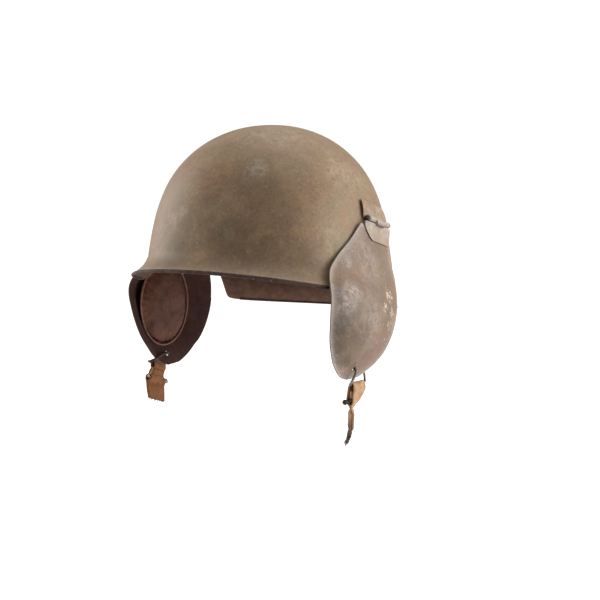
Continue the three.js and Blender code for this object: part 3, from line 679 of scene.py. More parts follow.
class Sketch:
    """A node tree as it is drawn."""

    def __init__(self, tree):
        self.tree = tree

    def add(self, kind, sockets=None, **settings):
        node = self.tree.nodes.new(kind)
        for name, value in settings.items():
            setattr(node, name, value)
        for name, value in (sockets or {}).items():
            self.feed(node.inputs[name], value)
        return node

    def feed(self, socket, value):
        if isinstance(value, bpy.types.NodeSocket):
            self.tree.links.new(value, socket)
        else:
            socket.default_value = value

    def maths(self, operation, a, b=0.0, capped=False):
        node = self.tree.nodes.new("ShaderNodeMath")
        node.operation = operation
        node.use_clamp = capped
        self.feed(node.inputs[0], a)
        self.feed(node.inputs[1], b)
        return node.outputs[0]

    def times(self, a, b):
        return self.maths("MULTIPLY", a, b)

    def plus(self, a, b, capped=False):
        return self.maths("ADD", a, b, capped)

    def less(self, a, b):
        return self.maths("SUBTRACT", a, b)

    def mix(self, factor, a, b, blend="MIX"):
        node = self.tree.nodes.new("ShaderNodeMix")
        node.data_type = "RGBA"
        node.blend_type = blend
        for index, value in ((0, factor), (6, a), (7, b)):
            self.feed(node.inputs[index], value)
        return node.outputs[2]

    def spread(self, value, low, high, to_low=0.0, to_high=1.0):
        node = self.add("ShaderNodeMapRange", {
            "Value": value, "From Min": low, "From Max": high, "To Min": to_low, "To Max": to_high,
        })
        return node.outputs["Result"]

    def stored(self, name):
        return self.add("ShaderNodeAttribute", attribute_name=name).outputs["Fac"]

    def place(self):
        return self.add("ShaderNodeTexCoord").outputs["Object"]

    def effect(self, name, sockets, out="Mask"):
        node = self.add("ShaderNodeGroup", node_tree=bpy.data.node_groups[name])
        for key, value in sockets.items():
            self.feed(node.inputs[key], value)
        return node.outputs[out]

    def cloud(self, name):
        """The patches that CLOUDS lists under a name."""
        return self.effect("patches", dict(zip(CLOUD_SOCKETS, CLOUDS[name])))

    def broken(self, zone, cloud, least):
        """A zone broken up by a cloud that is nowhere weaker than least."""
        return self.times(zone, self.plus(cloud, least, capped=True))

    def laid_over(self, colour, layers):
        """A colour under layers of mask, cover and colour, the last one on top."""
        for mask, cover, over in layers:
            colour = self.mix(self.times(mask, cover), colour, over)
        return colour


def new_effect(name, inputs, outputs, draw):
    """A shader node group: inputs of name and usual value, outputs by name."""
    tree = bpy.data.node_groups.new(name, "ShaderNodeTree")
    for label, value in inputs:
        made = tree.interface.new_socket(label, in_out="INPUT", socket_type="NodeSocketFloat")
        made.default_value = value
    for label in outputs:
        tree.interface.new_socket(label, in_out="OUTPUT", socket_type="NodeSocketFloat")
    sketch = Sketch(tree)
    given = tree.nodes.new("NodeGroupInput").outputs
    result = tree.nodes.new("NodeGroupOutput").inputs
    draw(sketch, given, result)


def shifted_place(sketch, shift):
    return sketch.add("ShaderNodeVectorMath", {0: sketch.place(), 1: shift}, operation="ADD").outputs[0]


# how far a full amount lowers the threshold of chips and of runs of scratches
AMOUNT_GAIN = 0.3


def passed(sketch, value, amount, highest, border):
    """A mask where the value passes a threshold, which falls from its highest with the amount."""
    start = sketch.less(highest, sketch.times(amount, AMOUNT_GAIN))
    return sketch.spread(value, start, sketch.plus(start, border))


def draw_patches(sketch, given, result):
    """Soft irregular patches."""
    cloud = sketch.add("ShaderNodeTexNoise", {
        "Vector": shifted_place(sketch, given["Shift"]), "Scale": given["Scale"],
        "Detail": 7.0, "Roughness": given["Breakup"], "Distortion": 0.4,
    })
    sketch.feed(result["Mask"], sketch.spread(cloud.outputs["Fac"], given["Low"], given["High"]))


CHIP_THRESHOLD = 0.78
CHIP_BORDER = 0.035


def draw_chips(sketch, given, result):
    """Sharp flecks, thicker where Edge is high."""
    cloud = sketch.add("ShaderNodeTexNoise", {
        "Vector": shifted_place(sketch, given["Shift"]), "Scale": given["Scale"],
        "Detail": 5.0, "Roughness": 0.62,
    })
    height = sketch.plus(cloud.outputs["Fac"], sketch.times(given["Edge"], given["Edge Gain"]))
    sketch.feed(result["Mask"], passed(sketch, height, given["Amount"], CHIP_THRESHOLD, CHIP_BORDER))


# scratches: the scale along each axis that draws them out, half a line's width in the noise, the scale of
# the runs that they come in as a share of their own, and the runs' threshold and border
SCRATCH_STRETCH = (1, 0.07, 1)
SCRATCH_HALF_WIDTH = 0.03
RUN_SCALE = 0.12
RUN_THRESHOLD = 0.75
RUN_BORDER = 0.1


def draw_scratches(sketch, given, result):
    """Fine lines drawn out one way, broken into runs."""
    place = shifted_place(sketch, given["Shift"])
    turn = sketch.add("ShaderNodeVectorRotate", {
        "Vector": place, "Axis": (1, 0, 0), "Angle": given["Turn"],
    }, rotation_type="AXIS_ANGLE")
    drawn = sketch.add("ShaderNodeVectorMath", {0: turn.outputs[0], 1: SCRATCH_STRETCH}, operation="MULTIPLY")
    line = sketch.add("ShaderNodeTexNoise", {
        "Vector": drawn.outputs[0], "Scale": given["Scale"], "Detail": 3.0, "Roughness": 0.7,
    })
    off = sketch.maths("ABSOLUTE", sketch.less(line.outputs["Fac"], 0.5))
    thin = sketch.spread(off, 0.0, SCRATCH_HALF_WIDTH, 1.0, 0.0)
    runs = sketch.add("ShaderNodeTexNoise", {
        "Vector": place, "Scale": sketch.times(given["Scale"], RUN_SCALE), "Detail": 3.0,
    })
    kept = passed(sketch, runs.outputs["Fac"], given["Amount"], RUN_THRESHOLD, RUN_BORDER)
    sketch.feed(result["Mask"], sketch.times(thin, kept))


def draw_grain(sketch, given, result):
    """Fine unevenness of paint, metal or hide."""
    place = sketch.place()
    fine = sketch.add("ShaderNodeTexNoise", {"Vector": place, "Scale": given["Scale"], "Detail": 4.0})
    cells = sketch.add("ShaderNodeTexVoronoi", {"Vector": place, "Scale": given["Scale"]})
    worn = sketch.times(cells.outputs["Distance"], given["Cells"])
    sketch.feed(result["Height"], sketch.plus(fine.outputs["Fac"], worn))


# the yarn's fuzz: its scale, and the range of weave and fuzz together that the tone spans
FUZZ_SCALE = 1900.0
WEAVE_RANGE = (-0.6, 1.6)


def draw_weave(sketch, given, result):
    """Crossing threads, from places along and across a band in mm."""
    pitch = sketch.maths("DIVIDE", 2 * math.pi, given["Rib"])
    along, across = (
        sketch.maths("SINE", sketch.times(sketch.stored(name), pitch)) for name in ("along", "across")
    )
    fuzz = sketch.add("ShaderNodeTexNoise", {"Vector": sketch.place(), "Scale": FUZZ_SCALE, "Detail": 3.0})
    woven = sketch.times(along, across)
    raised = sketch.plus(sketch.times(woven, 0.5), sketch.maths("ABSOLUTE", along))
    sketch.feed(result["Height"], sketch.plus(raised, fuzz.outputs["Fac"]))
    sketch.feed(result["Tone"], sketch.spread(sketch.plus(woven, fuzz.outputs["Fac"]), *WEAVE_RANGE))


def make_effects():
    """The node groups that the finishes share, with their sockets' usual values."""
    shift = ("Shift", 0.0)
    mask = ("Mask",)
    patches = (("Scale", 30.0), ("Low", 0.45), ("High", 0.6), ("Breakup", 0.6), shift)
    chips = (("Scale", 300.0), ("Amount", 0.3), ("Edge", 0.0), ("Edge Gain", 0.2), shift)
    scratches = (("Scale", 400.0), ("Amount", 0.5), ("Turn", 0.5), shift)
    new_effect("patches", patches, mask, draw_patches)
    new_effect("chips", chips, mask, draw_chips)
    new_effect("scratches", scratches, mask, draw_scratches)
    new_effect("grain", (("Scale", 900.0), ("Cells", 0.0)), ("Height",), draw_grain)
    new_effect("weave", (("Rib", 1.1),), ("Height", "Tone"), draw_weave)


def shaded(colour, share):
    """The colour made darker or lighter, ready for a socket."""
    return tuple(clamp(part * share, 0, 1) for part in colour[:3]) + (1.0,)


def new_finish(name):
    """A material with only its shader; returns it, its sketch and the shader."""
    finish = bpy.data.materials.new(name)
    finish.use_nodes = True
    finish.node_tree.nodes.clear()
    sketch = Sketch(finish.node_tree)
    shader = sketch.add("ShaderNodeBsdfPrincipled")
    end = sketch.add("ShaderNodeOutputMaterial")
    finish.node_tree.links.new(shader.outputs["BSDF"], end.inputs["Surface"])
    return finish, sketch, shader


def add_bump(sketch, shader, height, strength, distance):
    bump = sketch.add("ShaderNodeBump", {"Strength": strength, "Distance": distance, "Height": height})
    sketch.feed(shader.inputs["Normal"], bump.outputs["Normal"])


BARE_STEEL = solid("8d847a")
# worn steel of the knuckles, painted paler as a painted highlight
WORN_AND_HIGHLIT_STEEL = solid("aba091")
RUST = solid("6e4130")
# dark of dirt, also used as painted shade
DIRT_AND_SHADE = solid("2b2118")
CHIPPED = solid("d2c3ac")
# pale of rubbed paint, also a painted highlight on the pin's rear head
PALE_WEAR_AND_HIGHLIGHT = solid("c3b6a2")
GREY_WEAR = solid("c2bfc0")
TAN_WEAR = solid("8d6a43")
SHELL_GREEN = solid("66603f")
FLAP_GREEN = solid("5e5a48")
LEAF_GREEN = solid("7d7763")
SHELL_LINING = solid("4f362c")
FLAP_LINING = solid("321713")
LEAF_PAINT = solid("887765")
BAND_PAINT = solid("3b2c26")
# dark brown paint of the left crossbar, also painted shade on the right ring
BAR_PAINT_AND_RING_SHADE = solid("3b2a23")
PIPING_HIDE = solid("65463a")
FRAYED_YARN = solid("7a5c50")

# the clouds of every finish, by the sockets of the patches that draw them
CLOUD_SOCKETS = ("Scale", "Low", "High", "Breakup", "Shift")
CLOUDS = {
    "broad": (12.0, 0.38, 0.66, 0.6, 1.3),
    "mottled": (75.0, 0.38, 0.64, 0.7, 6.3),
    "tan": (48.0, 0.5, 0.66, 0.75, 8.9),
    "greenish": (30.0, 0.46, 0.66, 0.6, 4.1),
    "rust_area": (22.0, 0.5, 0.68, 0.7, 7.7),
    "rusty": (110.0, 0.45, 0.68, 0.75, 3.3),
    "fine": (420.0, 0.36, 0.7, 0.7, 2.2),
    "scuffed": (170.0, 0.4, 0.66, 0.75, 9.4),
    "darkened": (48.0, 0.36, 0.6, 0.7, 5.5),
    "metal_tone": (90.0, 0.38, 0.64, 0.7, 6.0),
    "metal_rust": (210.0, 0.52, 0.64, 0.75, 8.0),
    "hide_tone": (55.0, 0.36, 0.66, 0.65, 2.6),
    "hide_rubbed": (190.0, 0.4, 0.62, 0.7, 5.1),
    "faded": (85.0, 0.42, 0.62, 0.6, 3.7),
    "soiled": (130.0, 0.46, 0.64, 0.7, 6.9),
    "floor": (3.0, 0.2, 0.8, 0.6, 1.0),
}

# the paint: what its clouds of rust and its scratches add to the marked zones, how metallic its bare places
# and its worn places with a painted highlight are, the gloss of its film, the roughness that wear adds, and
# that of a sheet's inner face
RUST_AREA_SHARE = 0.35
SCRATCH_SHARE = 0.3
BARE_METALLIC = 0.6
WORN_AND_HIGHLIT_METALLIC = 0.3
PAINT_GLOSS = 0.3
WORN_ROUGHNESS = 0.3
INSIDE_ROUGHNESS = 0.95


def painted_steel(name, paint, green, pale_scuffs, roughness, lining):
    """Old satin paint: mottled, rusted in clouds, rubbed pale, chipped and stained, with painted shade and
    painted highlights where the tables mark them.
    """
    finish, sketch, shader = new_finish(name)
    edge, inside = sketch.stored("edge"), sketch.stored("inside")
    fine, rusty = sketch.cloud("fine"), sketch.cloud("rusty")
    rust_area = sketch.times(sketch.cloud("rust_area"), RUST_AREA_SHARE)
    rust = sketch.broken(sketch.plus(rust_area, sketch.stored("rust"), capped=True), rusty, 0.35)
    lines = sketch.effect("scratches", {"Scale": 420.0, "Amount": 0.5, "Turn": 0.6, "Shift": 3.0})
    rubbed = sketch.times(sketch.stored("scuff"), sketch.cloud("scuffed"))
    rubbed = sketch.plus(rubbed, sketch.times(lines, SCRATCH_SHARE), capped=True)
    specks = sketch.effect("chips", {"Scale": 430.0, "Amount": 0.41, "Edge Gain": 0.0, "Shift": 1.9})
    chipped = sketch.effect("chips", {
        "Scale": 340.0, "Amount": 0.12, "Edge": sketch.stored("chip"), "Edge Gain": 0.25, "Shift": 5.1,
    })
    bare = sketch.effect("chips", {
        "Scale": 380.0, "Amount": 0.16, "Edge": edge, "Edge Gain": 0.12, "Shift": 0.7,
    })
    # stored bare places, on the hinge knuckles: worn bare steel, painted paler as a painted highlight
    worn_and_highlit = sketch.broken(sketch.stored("bare"), fine, 0.45)
    colour = sketch.mix(sketch.cloud("broad"), shaded(paint, 0.8), shaded(paint, 1.2))
    colour = sketch.laid_over(colour, (
        (sketch.cloud("mottled"), 0.6, shaded(paint, 0.6)),
        (sketch.cloud("tan"), 0.5, TAN_WEAR),
        (sketch.cloud("greenish"), 0.5, green),
        (rust, 0.7, RUST),
        (fine, 0.5, shaded(paint, 1.9)),
        (rubbed, 0.55, pale_scuffs),
        (specks, 0.42, pale_scuffs),
        # stains, and painted shade and a painted dark reflection where the tables mark them, in the dark of
        # dirt
        (sketch.broken(sketch.stored("stain"), sketch.cloud("darkened"), 0.4), 0.7, DIRT_AND_SHADE),
        (chipped, 0.6, CHIPPED),
        (sketch.broken(edge, fine, 0.35), 0.5, pale_scuffs),
        (bare, 0.8, BARE_STEEL),
        (inside, 0.94, sketch.mix(rusty, lining, shaded(lining, 1.9))),
        (worn_and_highlit, 1.0, WORN_AND_HIGHLIT_STEEL),
    ))
    sketch.feed(shader.inputs["Base Color"], colour)
    bare_shine, worn_and_highlit_shine = sketch.times(bare, BARE_METALLIC), sketch.times(worn_and_highlit, WORN_AND_HIGHLIT_METALLIC)
    sketch.feed(shader.inputs["Metallic"], sketch.maths("MAXIMUM", bare_shine, worn_and_highlit_shine))
    dull = sketch.plus(fine, sketch.plus(rubbed, inside))
    dull = sketch.spread(dull, 0.0, 2.0, roughness, roughness + WORN_ROUGHNESS)
    rough = sketch.maths("MAXIMUM", dull, sketch.times(inside, INSIDE_ROUGHNESS))
    sketch.feed(shader.inputs["Roughness"], rough)
    shader.inputs["Specular IOR Level"].default_value = PAINT_GLOSS
    height = sketch.times(sketch.effect("grain", {"Scale": 700.0, "Cells": 0.3}, "Height"), 0.5)
    for mask, rise in ((bare, -0.9), (chipped, -0.8), (rusty, 0.4)):
        height = sketch.plus(height, sketch.times(mask, rise))
    add_bump(sketch, shader, height, 0.5, 0.00016)
    return finish


# the roughness that a metal's dark patches add to it
DARK_ROUGHNESS = 0.16


def bare_metal(name, metal, dark_share, roughness, rust_share, metallic=(0.85, 0.35), gloss=0.5):
    """Handled steel: polished on its edges, darker and rusted between."""
    finish, sketch, shader = new_finish(name)
    tone, rusty = sketch.cloud("metal_tone"), sketch.cloud("metal_rust")
    bright = sketch.effect("chips", {
        "Scale": 420.0, "Amount": 0.2, "Edge": sketch.stored("edge"), "Edge Gain": 0.14, "Shift": 1.0,
    })
    # stored bare places, on the pin's rear head, are painted pale: a painted highlight
    bright = sketch.maths("MAXIMUM", sketch.times(bright, 0.6), sketch.stored("bare"))
    colour = sketch.mix(tone, shaded(metal, dark_share), shaded(metal, 1.12))
    colour = sketch.laid_over(colour, ((rusty, rust_share, RUST), (bright, 1.0, PALE_WEAR_AND_HIGHLIGHT)))
    sketch.feed(shader.inputs["Base Color"], colour)
    sketch.feed(shader.inputs["Metallic"], sketch.spread(rusty, 0.0, 1.0, *metallic))
    rough = sketch.spread(tone, 0.0, 1.0, roughness + DARK_ROUGHNESS, roughness)
    sketch.feed(shader.inputs["Roughness"], rough)
    shader.inputs["Specular IOR Level"].default_value = gloss
    grain = sketch.effect("grain", {"Scale": 1300.0, "Cells": 0.2}, "Height")
    lines = sketch.effect("scratches", {"Scale": 700.0, "Amount": 0.6, "Turn": 1.2, "Shift": 2.0})
    add_bump(sketch, shader, sketch.less(grain, sketch.times(lines, 0.6)), 0.4, 0.0001)
    return finish


# leather's roughness in its dark and its pale patches
HIDE_ROUGHNESS = (0.68, 0.54)
HIDE_GLOSS = 0.3


def worn_leather(name, hide):
    """Thin oiled leather, creased and rubbed pale on its rim."""
    finish, sketch, shader = new_finish(name)
    tone, rubbed = sketch.cloud("hide_tone"), sketch.cloud("hide_rubbed")
    colour = sketch.mix(tone, shaded(hide, 0.65), shaded(hide, 1.35))
    worn = sketch.broken(sketch.stored("edge"), rubbed, 0.3)
    colour = sketch.laid_over(colour, ((worn, 0.5, shaded(hide, 2.6)),))
    sketch.feed(shader.inputs["Base Color"], colour)
    sketch.feed(shader.inputs["Roughness"], sketch.spread(tone, 0.0, 1.0, *HIDE_ROUGHNESS))
    shader.inputs["Specular IOR Level"].default_value = HIDE_GLOSS
    pores = sketch.effect("grain", {"Scale": 620.0, "Cells": 1.2}, "Height")
    add_bump(sketch, shader, sketch.plus(pores, rubbed), 0.6, 0.00025)
    return finish


def woven_webbing(name, yarn, rib, grime):
    """Cotton webbing: ribbed weave, sun-faded and soiled."""
    finish, sketch, shader = new_finish(name)
    tone = sketch.effect("weave", {"Rib": rib}, "Tone")
    soil = sketch.maths("MAXIMUM", sketch.times(sketch.cloud("soiled"), grime), sketch.stored("stain"))
    colour = sketch.mix(tone, shaded(yarn, 0.62), shaded(yarn, 1.3))
    colour = sketch.laid_over(colour, ((sketch.cloud("faded"), 0.45, shaded(yarn, 1.7)), (soil, 0.8, DIRT_AND_SHADE)))
    sketch.feed(shader.inputs["Base Color"], colour)
    shader.inputs["Roughness"].default_value = 0.9
    shader.inputs["Sheen Weight"].default_value = 0.1
    add_bump(sketch, shader, sketch.effect("weave", {"Rib": rib}, "Height"), 0.7, 0.00025)
    return finish


def make_finishes():
    """Every finish of the helmet, once: what makes it, its name and what that function is given."""
    c, rib = colours(), sizes().rib / MM
    make_effects()
    for make, name, *given in (
        (painted_steel, "shell_paint", tuple(c.shell), SHELL_GREEN, PALE_WEAR_AND_HIGHLIGHT, 0.48, SHELL_LINING),
        (painted_steel, "flap_paint", tuple(c.flap), FLAP_GREEN, GREY_WEAR, 0.48, FLAP_LINING),
        (painted_steel, "leaf_paint", LEAF_PAINT, LEAF_GREEN, GREY_WEAR, 0.44, FLAP_LINING),
        (bare_metal, "edge_steel", BAND_PAINT, 0.7, 0.6, 0.4, (0.05, 0.0), 0.18),
        (bare_metal, "bar_paint", BAR_PAINT_AND_RING_SHADE, 0.7, 0.42, 0.3, (0.25, 0.1), 0.25),
        (bare_metal, "worn_steel", tuple(c.steel), 0.72, 0.36, 0.3),
        (bare_metal, "dark_steel", tuple(c.dark_steel), 0.65, 0.34, 0.25),
        (bare_metal, "wire", tuple(c.wire), 0.6, 0.2, 0.25, (0.95, 0.6)),
        (worn_leather, "leather", tuple(c.leather)),
        (worn_leather, "piping", PIPING_HIDE),
        (woven_webbing, "webbing", tuple(c.webbing), rib, 0.45),
        (woven_webbing, "torn_webbing", tuple(c.torn), rib, 0.4),
        (woven_webbing, "frayed_yarn", FRAYED_YARN, rib, 0.3),
    ):
        FINISHES[name] = make(name, *given)


# Shell and its edge bands

DOME_ROWS = 38
FLARE_ROWS = 12
# the shell's columns in degrees: fine steps beside the cut-outs, wide ones elsewhere
FINE_FROM, FINE_TO = 54, 130
FINE_STEP, WIDE_STEP = 0.8, 2.0
# rows from the edge over which the unevenness fades in
CALM_ROWS = (2, 9)

# broad and narrow waves of the sheet: size in mm, and the narrow ones' share and shift
BROAD_WAVE, NARROW_WAVE = 40, 14
NARROW_SHARE = 0.45
NARROW_SHIFT = Vector((5, 2, 7))

# the band's fold: how far above the shell's edge its outer round starts, and how high its inner round is
BAND_ROUND = 0.6
BAND_HOLLOW = 0.5

# worn places and painted shade: x y z radius strength (mm)
SHELL_WEAR_AND_SHADE = {
    "scuff": (
        (40, -85, 106, 13, 1.0), (-18, -116, 67, 9, 1.0), (32, -117, 50, 6, 1.0), (-32, -115, 58, 12, 0.8),
        (25, -42, 137, 46, 0.55), (83, -6, 102, 34, 0.55), (-49, -111, 45, 26, 0.5),
        (97, -52, 40, 30, 0.45),
        (-60, 60, 110, 34, 0.45), (42, 98, 74, 24, 0.5), (20, 112, 42, 18, 0.4), (-100, 10, 60, 24, 0.5),
        (-18, 118, -2, 22, 0.45), (16, 121, 6, 16, 0.35), (-88, 44, 82, 18, 0.4),
    ),
    # darkened spots: the first five, low on the front of the dome and the visor, are painted shade and a
    # painted dark reflection; the rest are stains
    "stain": (
        (53, -93, 83, 52, 0.5), (42, -115, 39, 62, 0.68), (74, -96, 28, 46, 0.5), (-20, -120, 24, 44, 0.5),
        (8, -112, 62, 56, 0.42),
        (-44, 100, 66, 26, 0.4), (-62, 88, 44, 30, 0.35), (66, 76, 30, 30, 0.35), (52, 92, 12, 22, 0.3),
        (-98, 30, 50, 26, 0.4), (-94, 46, 34, 20, 0.35),
    ),
    "rust": (
        (7, -103, 96, 26, 0.8), (-41, -88, 102, 22, 0.8), (83, -50, 87, 22, 0.7), (87, -72, 43, 26, 0.6),
        (-60, -100, 40, 34, 0.7), (103, 0, 66, 18, 0.6), (0, 90, 100, 40, 0.6), (-95, -30, 70, 36, 0.7),
        (80, 70, 70, 30, 0.6), (-88, -66, 30, 40, 0.7), (-84, -74, 62, 34, 0.6), (60, -96, 62, 40, 0.5),
    ),
}


def column_bearings():
    """Bearings round the shell, closer where the cut-outs turn."""
    half = []
    bearing = 0.0
    while bearing < 180 - WIDE_STEP / 20:
        half.append(bearing)
        bearing += FINE_STEP if FINE_FROM <= bearing < FINE_TO else WIDE_STEP
    return half + [180.0] + [-b for b in reversed(half[1:])]


def column_heights(bearing):
    edge = edge_height(bearing)
    span = CROWN_HEIGHT - edge - FLARE_HEIGHT
    dome = [
        CROWN_HEIGHT - span * (1 - math.cos(i / DOME_ROWS * math.pi / 2))
        for i in range(1, DOME_ROWS + 1)
    ]
    return dome + [edge + FLARE_HEIGHT * (1 - i / FLARE_ROWS) for i in range(1, FLARE_ROWS + 1)]


def shell_rows():
    bearings = column_bearings()
    columns = [[shell_point(b, h) for h in column_heights(b)] for b in bearings]
    return bearings, [[column[r] for column in columns] for r in range(len(columns[0]))]


def unevenness(p, depth):
    """Broad and narrow waves of hand-worn sheet, in mm."""
    narrow = noise.noise(p / NARROW_WAVE + NARROW_SHIFT)
    return depth * (noise.noise(p / BROAD_WAVE) + NARROW_SHARE * narrow)


def band_contour():
    """The folded band across: out from the wall's middle, down from the edge."""
    slot = STEEL_WALL / 2 + FIT_GAP
    half = slot + BAND_WALL
    bottom = FIT_GAP + BAND_WALL
    floor = FIT_GAP - BAND_HOLLOW
    outer = [(half, -BAND_LEG), (half, -BAND_LEG / 2), (half, -BAND_ROUND)]
    for k in range(1, 10):
        turn = math.pi * k / 10
        outer.append((half * math.cos(turn), -BAND_ROUND + (bottom + BAND_ROUND) * math.sin(turn)))
    outer += [(-half, -BAND_ROUND), (-half, -BAND_LEG / 2), (-half, -BAND_LEG)]
    inner = [(-slot, -BAND_LEG), (-slot, floor)]
    for k in range(1, 6):
        turn = math.pi - math.pi * k / 6
        inner.append((slot * math.cos(turn), floor + BAND_HOLLOW * math.sin(turn)))
    inner += [(slot, floor), (slot, -BAND_LEG)]
    return outer + inner


def edge_band(name, bearings, rows, keep, from_rear):
    """A steel strip folded over the shell's edge, at the bearings that keep picks."""
    normals = grid_normals(rows[-3:], True, None)[-1]
    picked = [(b, c) for c, b in enumerate(bearings) if keep(abs(b))]
    picked.sort(key=lambda item: (item[0] + (0 if from_rear else 180)) % 360)
    contour = band_contour()
    sections, ridge = [], []
    for _, c in picked:
        edge, above, n = rows[-1][c], rows[-2][c], normals[c]
        down = (edge - above).normalized()
        out = (n - down * n.dot(down)).normalized()
        middle = edge - out * STEEL_WALL / 2
        sections.append([middle + out * p + down * q for p, q in contour])
        ridge.append(middle + down * FIT_GAP)
    band = swept_piece(name, sections, False)
    mark_edges(band, ridge, fade=1.2)
    return band


class HELMET_OT_shell(bpy.types.Operator):
    """Builds the pressed shell and the folded bands on its visor and nape"""
    bl_idname = "helmet.shell"
    bl_label = "Shell and edge bands"

    def execute(self, context):
        bearings, rows = shell_rows()
        depth = sizes().shell_dents / MM
        last = len(rows) - 1

        def dent(p, r, c):
            return unevenness(p, depth) * smooth_step(last - r, *CALM_ROWS)

        crown = Vector((0, 0, CROWN_HEIGHT))
        shell = sheet_piece("steel_shell", rows, STEEL_WALL, ring=True, crown=crown, dent=dent)
        mark_zone_table(shell, SHELL_WEAR_AND_SHADE)
        visor = edge_band("visor_band", bearings, rows, lambda b: b <= VISOR_BAND_END, False)
        nape = edge_band("nape_band", bearings, rows, lambda b: b >= NAPE_BAND_START, True)
        dress(shell, "helmet", "shell", "shell_paint")
        dress(visor, "helmet", "visor_rim", "edge_steel")
        dress(nape, "helmet", "nape_rim", "edge_steel")
        return {"FINISHED"}


# Hinges

LEAF_COLUMNS = 30
UPPER_LEAF_ROWS = 14
LOWER_LEAF_ROWS = 16
# how far the upper leaf reaches below the pin's middle
UPPER_LEAF_FOOT = 0.2
# a knuckle's rounded ends: their length and their share of the radius; how far its root stops short of them
KNUCKLE_ROUND = 0.35
KNUCKLE_END = 0.88
ROOT_INSET = 0.02
BORE_OVERRUN = 2
# the pin's heads: how far round their profile goes, how full their shoulders are, and the radius of the tip
HEAD_ROUND = 0.84
HEAD_SHOULDER = 0.85
TIP_RADIUS = 0.05

HINGE_WEAR_AND_SHADE = {
    "scuff": ((HINGE_X, 0, 62, 30, 0.8), (HINGE_X, 30, 56, 26, 0.8)),
    # a darkened spot at the leaves' front ends: painted shade in the gap between leaf and flap
    "stain": ((HINGE_X, -6, 60, 10, 0.5),),
}
# places along the pin painted pale: the knuckles, worn bare and with a painted highlight, and the pin's rear
# head, a painted highlight
KNUCKLES_WORN_AND_HIGHLIT = range(-16, 17, 4)
HEAD_HIGHLIGHT = (HINGE_HALF + 2.6,)


def leaf_sheet(name, rows, x_of):
    """A leaf's plate: rows of (down, front end), set at x_of(along, down)."""
    grid = []
    for down, front in rows:
        line = []
        for k in range(LEAF_COLUMNS + 1):
            along = lerp(front, LEAF_REAR, k / LEAF_COLUMNS)
            line.append(hinge_point(x_of(along, down) + LEAF_WALL, along, down))
        grid.append(line)
    return sheet_piece(name, grid, LEAF_WALL)


def knuckle(start, end, side, root_depth):
    """One knuckle with slightly rounded ends, and the root that joins it to its leaf."""
    barrel = circle(BARREL_RADIUS, 40)
    sections = []
    for along, share in (
        (start, KNUCKLE_END), (start + KNUCKLE_ROUND, 1), (end - KNUCKLE_ROUND, 1), (end, KNUCKLE_END),
    ):
        sections.append([hinge_point(HINGE_X + x * share, along, d * share) for x, d in barrel])
    tube = swept_piece("barrel", sections, False)
    low, high = sorted((0.0, side * root_depth))
    near, far = sorted((0.0, side * (BARREL_RADIUS + 1)))
    corners = ((near, low), (far, low), (far, high), (near, high))
    sections = [
        [hinge_point(HINGE_X + x, along, d) for x, d in corners]
        for along in (start + ROOT_INSET, end - ROOT_INSET)
    ]
    return tube, swept_piece("root", sections, False)


def bore(half):
    """The tool that opens knuckles, of the given half length together, for the pin."""
    sections = [
        [hinge_point(HINGE_X + x, along, down) for x, down in circle(PIN_BORE, 36)]
        for along in (-half - BORE_OVERRUN, half + BORE_OVERRUN)
    ]
    return swept_piece("bore", sections, False)


def upper_leaf(name):
    rows = [
        (lerp(-UPPER_LEAF_HEIGHT, UPPER_LEAF_FOOT, r / UPPER_LEAF_ROWS), LEAF_FRONT)
        for r in range(UPPER_LEAF_ROWS + 1)
    ]

    def x_of(along, down):
        p = hinge_point(0, along, down)
        share = clamp(-down / UPPER_LEAF_HEIGHT, 0, 1)
        lift = UPPER_LEAF_LIFT * (along / LEAF_FRONT) ** 2
        on_shell = shell_side(p.y, p.z) + FIT_GAP + lift
        return lerp(UPPER_LEAF_SEAT, min(on_shell, UPPER_LEAF_SEAT), share)

    leaf = leaf_sheet(name, rows, x_of)
    front = knuckle(-HINGE_HALF, -KNUCKLE_SPLIT - FIT_GAP / 2, -1, BARREL_RADIUS)
    rear = knuckle(KNUCKLE_SPLIT + FIT_GAP / 2, HINGE_HALF, -1, BARREL_RADIUS)
    steps = [(part, "UNION") for part in (*front, *rear)]
    steps.append((bore(HINGE_HALF), "DIFFERENCE"))
    return cut_or_join(leaf, steps)


def lower_leaf(name):
    rows = []
    downs, fronts = zip(*LOWER_LEAF_TABLE)
    for k in range(LOWER_LEAF_ROWS + 1):
        down = lerp(downs[0], downs[-1], k / LOWER_LEAF_ROWS)
        rows.append((down, smooth_read(downs, fronts, down)))

    def x_of(along, down):
        p = hinge_point(0, along, max(down, FLAP_TOP_DOWN))
        return flap_side(p.y, p.z) + FIT_GAP

    leaf = leaf_sheet(name, rows, x_of)
    half = KNUCKLE_SPLIT - FIT_GAP / 2
    steps = [(part, "UNION") for part in knuckle(-half, half, 1, LOWER_ROOT_DEPTH)]
    steps.append((bore(half), "DIFFERENCE"))
    return cut_or_join(leaf, steps)


def hinge_pin(name):
    """The pin with a peened round head at each end."""
    reach = HINGE_HALF + FIT_GAP
    end = reach + PIN_HEAD_LENGTH
    head = []
    for k in range(13):
        turn = math.pi * HEAD_ROUND * k / 12
        radius = max(TIP_RADIUS, PIN_HEAD_RADIUS * math.sin(turn) ** HEAD_SHOULDER)
        head.append((radius, end - PIN_HEAD_LENGTH / 2 * (1 - math.cos(turn))))
    head.append((PIN_RADIUS, reach))
    profile = [(r, -a) for r, a in head] + [(r, a) for r, a in reversed(head)]
    return turned_piece(name, profile, lambda x, along, down: hinge_point(HINGE_X + x, along, down))


